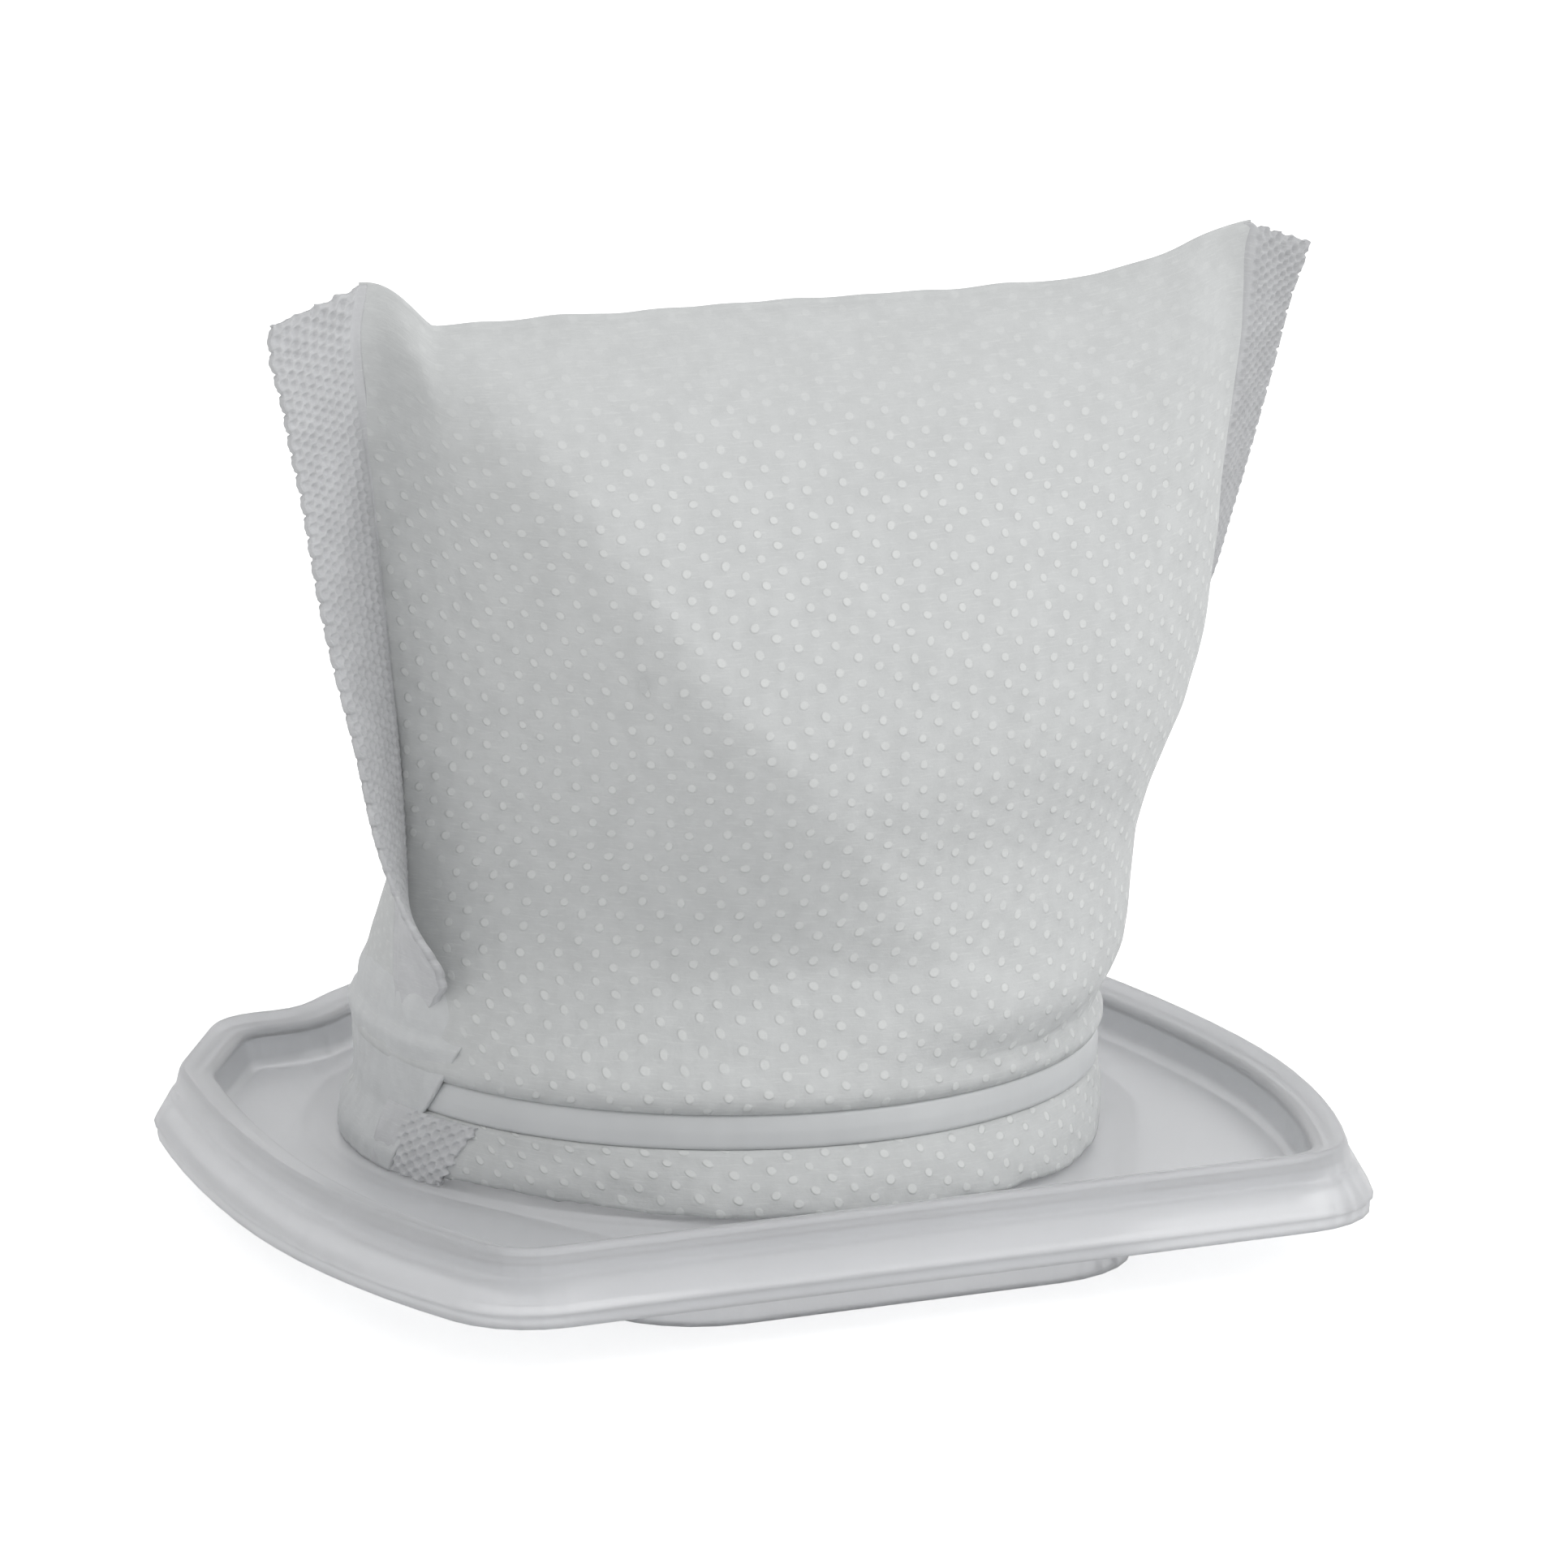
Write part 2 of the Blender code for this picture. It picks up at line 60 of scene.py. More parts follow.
# Places that the cloth shares with the CAD
SKIRT_BOTTOM = 4.9 * MM
COLLAR_Y = -1.2 * MM
NECK_RADIUS = 33.5 * MM
GROOVE_RADIUS = 32.6 * MM
BAND_COVER_RADIUS = 33.7 * MM
HEM_TOP_RADIUS = 33.7 * MM
SHOULDER_RADIUS = 34.1 * MM
BAND_LOW = SKIRT_BOTTOM + 8.2 * MM
BAND_HIGH = SKIRT_BOTTOM + 11.3 * MM
BODY_START = SKIRT_BOTTOM + 14.1 * MM
CLOTH = 0.55 * MM
BAND_PLAY = 0.05 * MM
SHOULDER_LOW = BAND_HIGH + 0.9 * MM
SHOULDER_HIGH = BAND_HIGH + 1.6 * MM

# Pouch top, as in the CAD, and its ripple
POUCH_TOP = 84.5 * MM
TOP_HALF_WIDTH = 41.2 * MM
TOP_CENTRE = (1.2 * MM, -18.0 * MM)
TOP_TURN = -3.5
NECK_TURN = 7.0
FOLD_HALF_DEPTH = 0.75 * MM
TOP_TILT = 1.0 * MM
TOP_RIPPLE = 0.3 * MM
TOP_RIPPLE_START = 0.7
TOP_RIPPLE_RATE = 8.0
TOP_RIPPLE_FADE = 14

# Ears of the top fold: height, share across where they start, how they ease in and how
# round they end, and the power of the height share that fades them out downwards
LEFT_EAR = 4.1 * MM
LEFT_EAR_START = 0.84
LEFT_EAR_EASE = 1.3
LEFT_EAR_ROUND = 2.3
RIGHT_EAR = 4.2 * MM
RIGHT_EAR_START = 0.45
RIGHT_EAR_EASE = 3.0
RIGHT_EAR_ROUND = 2.0
EAR_FADE = 3

# Weld fins, and the powers of the height share that shape their top edge
FIN_WIDTH = 8.9 * MM
FIN_THICKNESS = 0.55 * MM
FIN_ROOT = 0.7 * MM
FIN_TOP_FALL = 2.9 * MM
FIN_TOP_WAVE = 0.3 * MM
FIN_CREASE_START = 0.1 * MM
FIN_CREASE = 0.8 * MM
FIN_BEND = 1.8 * MM
FIN_TOP_POWER = 60
FIN_FALL_POWER = 6
FIN_CELLS_ACROSS = (0.2 * MM, 0.7 * MM)
FIN_CELLS_UP = (7 * MM, 13 * MM)
FIN_TIP = (0.93, 1.02)
FIN_TIP_THINNING = 0.6
FIN_THINNEST = 0.08 * MM
CREASE_SHARE = 0.25
BEND_SHARE = 0.04

# Low down the fins lie against the pouch: height share, lift and sink in mm, and the
# share over which their lower end comes out
HUG_SHARE = 0.24
HUG_LIFT = 0.45
HUG_SINK = 0.1
HUG_EMERGE = 0.05

# Height share; left seam across and forward, right seam across and forward; front
# depth, back depth and pointedness of the section
POUCH_SHAPE = [
    (0.00, 0.00, 0.00, 0.00, 0.00, 1.00, 1.00, 1.00),
    (0.06, 0.00, 0.03, 0.07, 0.02, 1.01, 0.93, 1.00),
    (0.14, 0.00, 0.06, 0.20, 0.07, 0.93, 0.78, 1.00),
    (0.26, -0.02, 0.12, 0.46, 0.18, 0.86, 0.61, 1.05),
    (0.40, 0.11, 0.25, 0.76, 0.43, 0.82, 0.52, 1.10),
    (0.52, 0.29, 0.38, 0.90, 0.61, 0.74, 0.45, 1.15),
    (0.64, 0.48, 0.52, 0.95, 0.73, 0.62, 0.37, 1.20),
    (0.76, 0.68, 0.66, 0.98, 0.84, 0.46, 0.28, 1.25),
    (0.87, 0.93, 0.82, 1.00, 0.93, 0.28, 0.18, 1.30),
    (0.95, 1.06, 0.93, 1.01, 0.97, 0.13, 0.09, 1.35),
    (1.00, 1.00, 1.00, 1.00, 1.00, 0.00, 0.00, 1.40),
]

# Front panel: height share, place of its diagonal ridge across it, how square its right
# side is, and how much of this shape has taken over from the round neck
RIDGE_SHAPE = [
    (0.00, 0.60, 2.0, 0.00),
    (0.06, 0.60, 2.1, 0.50),
    (0.14, 0.56, 2.3, 0.90),
    (0.26, 0.46, 2.6, 0.92),
    (0.40, 0.38, 2.8, 0.88),
    (0.52, 0.31, 2.7, 0.88),
    (0.64, 0.25, 2.5, 0.90),
    (0.76, 0.20, 2.3, 0.95),
    (0.87, 0.17, 2.1, 1.00),
    (1.00, 0.15, 2.0, 1.00),
]
LEFT_FACET_POWER = 1.6
WELD_TAPER = 0.07
WELD_THIN = (0.62, 0.95)
THINNEST_PANEL = 0.03 * MM

# Height share, left fin's angle towards the front, right fin's angle towards the
# back, and share of the full width
FIN_SHAPE = [
    (0.04, 108.0, 95.0, 0.42),
    (0.10, 99.0, 88.0, 0.84),
    (0.20, 71.0, 80.0, 1.00),
    (0.30, 55.0, 74.0, 1.00),
    (0.43, 46.0, 58.0, 1.00),
    (0.62, 33.0, 50.0, 1.00),
    (0.82, 27.0, 42.0, 1.00),
    (0.92, 24.0, 37.0, 1.00),
    (1.00, 10.0, 27.0, 1.00),
]

# Hem below the band: angle about the collar from the camera's left, radius and height
# of the bottom edge in mm
HEM_SHAPE = [
    (0.0, 34.6, 8.2),
    (12.0, 34.9, 7.9),
    (28.0, 35.0, 7.8),
    (44.0, 34.8, 7.9),
    (53.0, 34.5, 8.2),
    (62.0, 34.5, 8.0),
    (72.0, 34.8, 7.9),
    (91.0, 36.2, 7.7),
    (115.0, 36.4, 7.7),
    (140.0, 36.1, 7.7),
    (158.0, 35.2, 7.8),
    (172.0, 34.0, 8.0),
    (200.0, 34.0, 8.4),
    (260.0, 34.6, 8.2),
    (320.0, 34.4, 8.2),
    (360.0, 34.6, 8.2),
]
VIEW_LEFT_AZIMUTH = 156.6
HEM_WAVE = 0.35
HEM_WAVE_RATE = 7
HEM_RAGGED = 0.2
HEM_RAGGED_RATE = 31
HEM_BULGE = 0.4
HEM_SLOPE = 1.6
HEM_BILLOW = 0.5
HEM_BILLOW_RATE = 5
HEM_BAND_GAP = 0.2 * MM

# Free edge of the seam gusset that lies over the band at the left: height in mm and
# angle about the collar from the camera's left
GUSSET_EDGE = [
    (7.3, 33.5),
    (10.2, 35.4),
    (12.7, 37.6),
    (15.8, 42.2),
    (18.3, 45.0),
    (21.5, 47.0),
    (27.5, 47.0),
]
GUSSET_START = -12.0
GUSSET_COLUMNS = 90
GUSSET_ROWS = 80
GUSSET_LIFT = 0.3
GUSSET_SINK = 0.3
GUSSET_THICKNESS = 0.3
GUSSET_HEM_LIFT = 0.5
GUSSET_EDGE_WAVE = 0.5
GUSSET_EDGE_RATE = 0.4

# Where the gusset goes over from one shape to the next: heights in mm for the hem and
# the band, and distances from its top and its sides in mm and degrees
GUSSET_OVER_HEM = (8.5, 12.5)
GUSSET_OVER_BAND = (16.5, 19.5)
GUSSET_TOP_FADE = (6.0, 1.0)
GUSSET_BACK_FADE = 9
GUSSET_FRONT_FADE = (9, 1)

# Wrinkles of the gusset, and the pinched fold beside the end of the slit, in mm and degrees
WRINKLE = 0.22
WRINKLE_RATE = (0.13, 0.22)
FINE_WRINKLE = 0.1
FINE_WRINKLE_RATE = 3.1
PINCH_HEIGHT = 0.7
PINCH_PLACE = (36.5, 22.5)
PINCH_SPREAD = (3.2, 2.6)

# Hem flap: angles about the collar, heights and radii in mm
FLAP_STEPS = 80
FLAP_START = 28.0
FLAP_END = 50.0
FLAP_TAPER = 5.5
FLAP_RAGGED = 0.9
FLAP_RAGGED_RATE = 11
FLAP_BOTTOM = 7.35
FLAP_BOTTOM_WAVE = 0.12
FLAP_BOTTOM_RATE = 9
FLAP_BAND_GAP = 0.15 * MM
FLAP_TOP_RADIUS = 34.0
FLAP_LIFT = 0.7
FLAP_THICKNESS = 0.5
FLAP_CELLS = (3.5 * MM, 5.0 * MM)

# Fold over the right side of the neck: height of its lower edge in mm at an azimuth, its
# slope in mm a degree, and its depth in mm
NECK_FOLD_HEIGHT = 25.8
NECK_FOLD_AZIMUTH = -23.0
NECK_FOLD_SLOPE = 0.19
NECK_FOLD_DEPTH = 0.55
NECK_FOLD_FRONT = (-72.0, -45.0)
NECK_FOLD_REAR = (-8.0, 4.0)
NECK_FOLD_EDGE = 0.7
NECK_FOLD_FADE = (2.5, 9)
NECK_FOLD_SEAM = 0.05

# Small dents in the front panel: place on the cloth, half width, half height and depth
DENTS = [
    (-23.8, 50.6, 0.5, 1.1, 0.8),
]

# Crumple of the panels: rate over the cloth, depths in mm, and where it calms down
# beside the seams, low at the left, above the band and below the top fold
CRUMPLE_RATE = 0.045
CRUMPLE_FINER = 4.7
CRUMPLE_BROAD = 0.65
CRUMPLE_SMALL = 0.2
SEAM_CALM = 0.06
LOW_LEFT_CALM = (0.06, 0.2)
LOW_LEFT_HEIGHT = (30 * MM, 44 * MM)
BAND_CALM = (1 * MM, 8 * MM)
FOLD_CALM_ROWS = (5.0, 36.0)

# Mesh resolution
PANEL_COLUMNS = 150
BODY_ROWS = 170
HEM_ROWS = 14
FIN_COLUMNS = 48
FIN_ROWS = 400
FOLD_STEPS = 4
LINING_ROWS = 46
LINING_TOP = 0.975
LINING_HEM_ROWS = 5
MERGE_DISTANCE = 1e-6

# The back panel and the lining lie beside the front panel on the cloth's map, in mm
BACK_MAP_SHIFT = 260.0
LINING_MAP_SHIFT = 520.0

# Embossed honeycomb of the weld fins
CELL_PITCH = 1.06 * MM
CELL_DEPTH = 0.34 * MM
FLAP_CELL_DEPTH = 0.24 * MM
CELL_FLOOR = 0.2
CELL_WALL = 0.44
SCALLOP_PITCH = 2.1 * MM
SCALLOP_DEPTH = 0.4 * MM

# The floor lies a hair below the part's foot
FLOOR_DROP = -0.03 * MM

# Rounding of the plastic's edges in its shading
EDGE_SOFTNESS = 0.7 * MM

# Bond points of the cloth: two steps of their lattice and their radius in mm, their colour and
# depth, and how far in mm the lattice wanders. Their lighter colour is a painted highlight for the
# light their glossy pits catch; the pale fibre wisps use the same colour
BOND_STEP_A = (1.72, -1.05)
BOND_STEP_B = (1.80, 1.28)
BOND_RADIUS = 0.42
BOND_HIGHLIGHT_AND_WISP_COLOUR = (222, 224, 223)
BOND_DEPTH = 0.15 * MM
BOND_WANDER = 1.2
BOND_WANDER_SCALE = 0.16

# The bond points fade out between two heights, unevenly, to a faint rest
BOND_FADE = (78 * MM, 93 * MM)
BOND_UNEVEN = 22 * MM
BOND_REST = 0.12

# The seam allowance left of the slit has hardly any bond points: place across and the
# heights of its lower and upper end
ALLOWANCE_ACROSS = (-31.5 * MM, -29.5 * MM)
ALLOWANCE_LOW = (12 * MM, 15 * MM)
ALLOWANCE_HIGH = (33 * MM, 40 * MM)

# Noise of the cloth and depth of what it draws
FIBRE_SCALE = 3200.0
FIBRE_DEPTH = 0.05 * MM
MOTTLE_SCALE = 420.0
CRUMPLE_SCALE = 150.0
CRUMPLE_DEPTH = 0.9 * MM
WISP_STRETCH = (0.45, 4.5, 1.0)
WISP_TURN = 0.22
WISP_DEPTH = 0.06 * MM

# Light and dark colour of each cloth and the strength of its bond points
CLOTH_LOOKS = {
    "cloth_panels": ((206, 208, 208), (199, 201, 201), 1.0),
    "cloth_gusset": ((210, 212, 213), (203, 205, 206), 0.0),
    # The fins wear lit and shaded copies of one cloth. The left copy, also used on the hem flap,
    # is painted lighter against the shade there. The right copy is painted darker, as painted
    # shade against the key lamp's light
    "cloth_left_fin_painted_light": ((206, 207, 209), (196, 197, 199), 0.0),
    "cloth_right_fin_painted_shade": ((193, 194, 196), (182, 183, 185), 0.0),
}

# Material name of each CAD node, its light and dark colour, its lowest and highest
# roughness, the scales of its grain and of its clouds, and how clear it is
PLASTIC_LOOKS = {
    "filter_tray": ("tray_plastic", (241, 242, 244), (236, 237, 239), 0.3, 0.4, 2200.0, 45.0, 0.6),
    "clamp_band": ("band_gloss", (216, 218, 219), (209, 211, 212), 0.4, 0.5, 1800.0, 90.0, 0.0),
}
PLASTIC_IOR = 1.49
PLASTIC_GLOSS = 0.25
GRAIN_DEPTH = 0.03 * MM
CLOUD_DEPTH = 1.0 * MM

# Stage
KEY_PLACE = (0.66, -0.68, 0.80)
KEY_AIM = (0, 0, 0.04)
KEY_SIZE = 0.6
KEY_POWER = 3.9
WORLD_LEVEL = 0.76
FLOOR_SIZE = 3.0
FLOOR_GREY = 0.92
FLOOR_GLOW = 0.6


def srgb(red, green, blue):
    """Linear colour of an 8-bit sRGB one."""
    linear = []
    for value in (red, green, blue):
        c = value / 255
        linear.append(c / 12.92 if c <= 0.04045 else ((c + 0.055) / 1.055) ** 2.4)
    return (*linear, 1.0)


def blend_rows(rows, share):
    """Smooth value of each column of a table at a share."""
    last = len(rows) - 1
    k = 0
    while k < last - 1 and share > rows[k + 1][0]:
        k += 1
    low, high = rows[k], rows[k + 1]
    before = rows[max(k - 1, 0)]
    after = rows[min(k + 2, last)]
    span = high[0] - low[0]
    t = min(max((share - low[0]) / span, 0.0), 1.0)
    values = []
    for column in range(1, len(low)):
        slope_low = (high[column] - before[column]) / (high[0] - before[0]) * span
        slope_high = (after[column] - low[column]) / (after[0] - low[0]) * span
        a = 2 * t ** 3 - 3 * t ** 2 + 1
        b = t ** 3 - 2 * t ** 2 + t
        c = -2 * t ** 3 + 3 * t ** 2
        d = t ** 3 - t ** 2
        values.append(a * low[column] + b * slope_low + c * high[column] + d * slope_high)
    return values


def smooth_step(value, low, high):
    t = np.clip((value - low) / (high - low), 0.0, 1.0)
    return t * t * (3 - 2 * t)


class Nodes:
    """Short hand for building a material's node tree."""

    def __init__(self, name):
        self.material = bpy.data.materials.new(name)
        self.material.use_nodes = True
        self.tree = self.material.node_tree
        self.shader = self.tree.nodes["Principled BSDF"]
        self.output = self.tree.nodes["Material Output"]

    def add(self, kind, **settings):
        node = self.tree.nodes.new(kind)
        for key, value in settings.items():
            setattr(node, key, value)
        return node

    def put(self, source, target):
        """Sets a socket to a number or colour, or links another socket to it."""
        if isinstance(source, bpy.types.NodeSocket):
            self.tree.links.new(source, target)
        else:
            target.default_value = source

    def math(self, operation, a, b=0.0, c=0.0):
        node = self.add("ShaderNodeMath", operation=operation)
        self.put(a, node.inputs[0])
        self.put(b, node.inputs[1])
        self.put(c, node.inputs[2])
        return node.outputs[0]

    def spread(self, value, low, high, to_low=0.0, to_high=1.0):
        node = self.add("ShaderNodeMapRange", interpolation_type="SMOOTHSTEP")
        self.put(value, node.inputs["Value"])
        node.inputs["From Min"].default_value = low
        node.inputs["From Max"].default_value = high
        node.inputs["To Min"].default_value = to_low
        node.inputs["To Max"].default_value = to_high
        return node.outputs["Result"]

    def noise(self, where, scale, detail=3.0, roughness=0.5):
        node = self.add("ShaderNodeTexNoise")
        self.put(where, node.inputs["Vector"])
        node.inputs["Scale"].default_value = scale
        node.inputs["Detail"].default_value = detail
        node.inputs["Roughness"].default_value = roughness
        return node.outputs["Fac"]

    def mix(self, amount, first, second):
        node = self.add("ShaderNodeMix", data_type="RGBA")
        self.put(amount, node.inputs["Factor"])
        self.put(first, node.inputs[6])
        self.put(second, node.inputs[7])
        return node.outputs[2]

    def bump(self, height, distance, strength=1.0, normal=None):
        node = self.add("ShaderNodeBump")
        node.inputs["Strength"].default_value = strength
        node.inputs["Distance"].default_value = distance
        self.put(height, node.inputs["Height"])
        if normal is not None:
            self.put(normal, node.inputs["Normal"])
        return node.outputs["Normal"]


def lattice_distance(n, u, v, step_a, step_b):
    """Distance in mm to the nearest point of a lattice."""
    det = step_a[0] * step_b[1] - step_a[1] * step_b[0]

    def add_scaled(first, by_first, second, by_second):
        scaled = n.math("MULTIPLY", first, by_first)
        return n.math("ADD", scaled, n.math("MULTIPLY", second, by_second))

    i = add_scaled(u, step_b[1] / det, v, -step_b[0] / det)
    j = add_scaled(u, -step_a[1] / det, v, step_a[0] / det)
    i = n.math("SUBTRACT", n.math("FRACT", i), 0.5)
    j = n.math("SUBTRACT", n.math("FRACT", j), 0.5)
    x = add_scaled(i, step_a[0], j, step_b[0])
    y = add_scaled(i, step_a[1], j, step_b[1])
    return n.math("SQRT", add_scaled(x, x, y, y))


def cloth_material(name, light, dark, bonds):
    """Point-bonded non-woven: fine fibres, soft crumple and, on the panels, bond points with a
    painted highlight.
    """
    n = Nodes(name)
    place = n.add("ShaderNodeTexCoord").outputs["Object"]
    fibres = n.noise(place, FIBRE_SCALE, 4.0, 0.65)
    mottle = n.noise(place, MOTTLE_SCALE, 4.0, 0.6)
    crumpled = n.noise(place, CRUMPLE_SCALE, 4.0, 0.55)
    colour = n.mix(n.spread(mottle, 0.3, 0.7), srgb(*dark), srgb(*light))
    # Pale wisps of longer fibres
    uv = n.add("ShaderNodeUVMap", uv_map="cloth").outputs["UV"]
    drawn = n.add("ShaderNodeMapping")
    n.put(uv, drawn.inputs["Vector"])
    drawn.inputs["Scale"].default_value = WISP_STRETCH
    drawn.inputs["Rotation"].default_value = (0.0, 0.0, WISP_TURN)
    wisps = n.noise(drawn.outputs["Vector"], 1.0, 5.0, 0.7)
    colour = n.mix(n.spread(wisps, 0.5, 0.78, 0.0, 0.6), colour, srgb(*BOND_HIGHLIGHT_AND_WISP_COLOUR))
    rough = n.spread(mottle, 0.3, 0.7, 0.66, 0.8)
    normal = n.bump(crumpled, CRUMPLE_DEPTH, 0.22)
    if bonds > 0:
        # The lattice wanders a little, as on real cloth
        wander = n.add("ShaderNodeTexNoise")
        n.put(uv, wander.inputs["Vector"])
        wander.inputs["Scale"].default_value = BOND_WANDER_SCALE
        wander.inputs["Detail"].default_value = 2.0
        shift = n.add("ShaderNodeVectorMath", operation="MULTIPLY_ADD")
        n.put(wander.outputs["Color"], shift.inputs[0])
        shift.inputs[1].default_value = (BOND_WANDER, BOND_WANDER, 0.0)
        n.put(uv, shift.inputs[2])
        split = n.add("ShaderNodeSeparateXYZ")
        n.put(shift.outputs[0], split.inputs[0])
        away = lattice_distance(n, split.outputs[0], split.outputs[1], BOND_STEP_A, BOND_STEP_B)
        # The points are stretched out flat towards the top fold, and uneven all over
        where = n.add("ShaderNodeSeparateXYZ")
        n.put(place, where.inputs[0])
        uneven = n.noise(uv, 0.35, 3.0, 0.6)
        height = n.math("ADD", where.outputs[2], n.math("MULTIPLY", uneven, BOND_UNEVEN))
        strength = n.spread(height, *BOND_FADE, bonds, BOND_REST * bonds)
        strength = n.math("MULTIPLY", strength, n.spread(uneven, 0.25, 0.7, 0.6, 1.0))
        # Left of the slit, above the hem, the cloth is the smooth seam allowance
        beside = n.spread(where.outputs[0], *ALLOWANCE_ACROSS, 0.1, 1.0)
        beside = n.math("MAXIMUM", beside, n.spread(where.outputs[2], *ALLOWANCE_HIGH))
        beside = n.math("MAXIMUM", beside, n.spread(where.outputs[2], *ALLOWANCE_LOW, 1.0, 0.0))
        strength = n.math("MULTIPLY", strength, beside)
        pit = n.spread(away, BOND_RADIUS * 0.72, BOND_RADIUS * 1.2, 1.0, 0.0)
        swell = n.spread(away, BOND_RADIUS, BOND_RADIUS * 2.4, 0.0, 1.0)
        # The middle of each bond point is painted lighter: a painted highlight for its glossy pit
        # catching the light
        painted_bond_highlight = n.math("MULTIPLY", n.math("MULTIPLY", pit, strength), 0.75)
        colour = n.mix(painted_bond_highlight, colour, srgb(*BOND_HIGHLIGHT_AND_WISP_COLOUR))
        relief = n.math("SUBTRACT", n.math("MULTIPLY", swell, 0.3), n.math("MULTIPLY", pit, 0.7))
        normal = n.bump(n.math("MULTIPLY", relief, strength), BOND_DEPTH, 0.8, normal)
        rough = n.math("SUBTRACT", rough, n.math("MULTIPLY", pit, 0.22))
    normal = n.bump(wisps, WISP_DEPTH, 0.5, normal)
    normal = n.bump(fibres, FIBRE_DEPTH, 0.4, normal)
    n.put(colour, n.shader.inputs["Base Color"])
    n.put(rough, n.shader.inputs["Roughness"])
    n.put(normal, n.shader.inputs["Normal"])
    n.shader.inputs["Sheen Weight"].default_value = 0.06
    n.shader.inputs["Sheen Roughness"].default_value = 0.5
    return n.material


def plastic_material(name, light, dark, rough_low, rough_high, grain, swirl, clear):
    """Frosted moulded plastic: soft clouds of colour and gloss, and a fine moulded grain."""
    n = Nodes(name)
    place = n.add("ShaderNodeTexCoord").outputs["Object"]
    clouds = n.noise(place, swirl, 3.0, 0.5)
    fine = n.noise(place, grain, 3.0, 0.6)
    colour = n.mix(n.spread(clouds, 0.3, 0.7), srgb(*dark), srgb(*light))
    n.put(colour, n.shader.inputs["Base Color"])
    n.put(n.spread(clouds, 0.25, 0.75, rough_low, rough_high), n.shader.inputs["Roughness"])
    # Moulded edges and turned faces look rounded
    soft_edge = n.add("ShaderNodeBevel", samples=6)
    soft_edge.inputs["Radius"].default_value = EDGE_SOFTNESS
    normal = n.bump(fine, GRAIN_DEPTH, 0.2, soft_edge.outputs[0])
    normal = n.bump(clouds, CLOUD_DEPTH, 0.1, normal)
    n.put(normal, n.shader.inputs["Normal"])
    n.shader.inputs["IOR"].default_value = PLASTIC_IOR
    n.shader.inputs["Specular IOR Level"].default_value = PLASTIC_GLOSS
    n.shader.inputs["Transmission Weight"].default_value = clear
    return n.material


def direction(degrees):
    """Unit vector in plan at an azimuth."""
    return np.array([math.cos(math.radians(degrees)), math.sin(math.radians(degrees))])


def ear_rise(across):
    """Height of the top fold above its flat middle; across is -1 at the left seam."""
    left = np.clip((-across - LEFT_EAR_START) / (1 - LEFT_EAR_START), 0.0, 1.0) ** LEFT_EAR_EASE
    right = np.clip((across - RIGHT_EAR_START) / (1 - RIGHT_EAR_START), 0.0, 1.0) ** RIGHT_EAR_EASE
    left_rise = LEFT_EAR * (1 - (1 - left) ** LEFT_EAR_ROUND)
    right_rise = RIGHT_EAR * (1 - (1 - right) ** RIGHT_EAR_ROUND)
    return left_rise + right_rise - TOP_TILT * (1 - across) / 2


def pouch_section(share):
    """Seams, front and back depth and pointedness of the pouch at a height share."""
    left_x, left_y, right_x, right_y, front, back, point = blend_rows(POUCH_SHAPE, share)
    collar = np.array([0.0, COLLAR_Y])
    seams = []
    for side, across_share, forward_share in ((-1, left_x, left_y), (1, right_x, right_y)):
        neck = collar + direction(NECK_TURN) * NECK_RADIUS * side
        top = np.array(TOP_CENTRE) + direction(TOP_TURN) * TOP_HALF_WIDTH * side
        seams.append(neck + (top - neck) * np.array([across_share, forward_share]))
    front = FOLD_HALF_DEPTH + (NECK_RADIUS - FOLD_HALF_DEPTH) * front
    back = FOLD_HALF_DEPTH + (NECK_RADIUS - FOLD_HALF_DEPTH) * back
    return seams[0], seams[1], front, back, point


def body_height(share, across):
    """Height of a row of the pouch above the band; its top fold has ears and a ripple."""
    flat = BODY_START + (POUCH_TOP - BODY_START) * share
    rise = ear_rise(across) * share ** EAR_FADE
    if share > TOP_RIPPLE_START:
        spots = [Vector((a * TOP_RIPPLE_RATE, 0.0, 2.0)) for a in np.atleast_1d(across)]
        wave = np.array([noise.noise(spot) for spot in spots]).reshape(np.shape(across))
        rise = rise + TOP_RIPPLE * share ** TOP_RIPPLE_FADE * wave
    return flat + rise


def ridge_swing(share, place):
    """Depth of the front panel across it: a slanted left facet and a square right side."""
    peak, square, amount = blend_rows(RIDGE_SHAPE, share)
    left = 1 - (1 - np.clip(place / peak, 0.0, 1.0)) ** LEFT_FACET_POWER
    right = np.sqrt(1 - np.clip((place - peak) / (1 - peak), 0.0, 1.0) ** square)
    round_swing = 2 * np.sqrt(np.clip(place * (1 - place), 0.0, 1.0))
    faceted = np.where(place < peak, left, right)
    swing = round_swing + (faceted - round_swing) * amount
    # Near the top fold the panels run thin towards the welds
    thin = float(smooth_step(share, *WELD_THIN))
    weld = 1 - smooth_step(np.minimum(place, 1 - place), 0.0, WELD_TAPER)
    return swing * (1 - weld * thin)


def panel_row(share, side, inset=0.0, squeeze=1.0, lift=0.0):
    """One row of the front panel (side 1) or back panel (side -1), left seam to right."""
    left, right, front, back, point = pouch_section(share)
    centre = (left + right) / 2
    half = np.linalg.norm(right - left) / 2
    across = (right - left) / (2 * half)
    forward = np.array([across[1], -across[0]])
    depth = (front if side > 0 else back) * squeeze
    angle = math.pi * np.arange(PANEL_COLUMNS + 1) / PANEL_COLUMNS
    cosine = -np.cos(angle)
    if side > 0:
        swing = ridge_swing(share, (1 + cosine) / 2)
    else:
        swing = np.abs(np.sin(angle)) ** point
    swing[0] = swing[-1] = 0.0
    plan = centre + np.outer(cosine * (half - inset), across)
    plan = plan + np.outer(swing * max(depth - inset, THINNEST_PANEL) * side, forward)
    height = body_height(share, cosine) + lift
    return np.column_stack([plan, height])


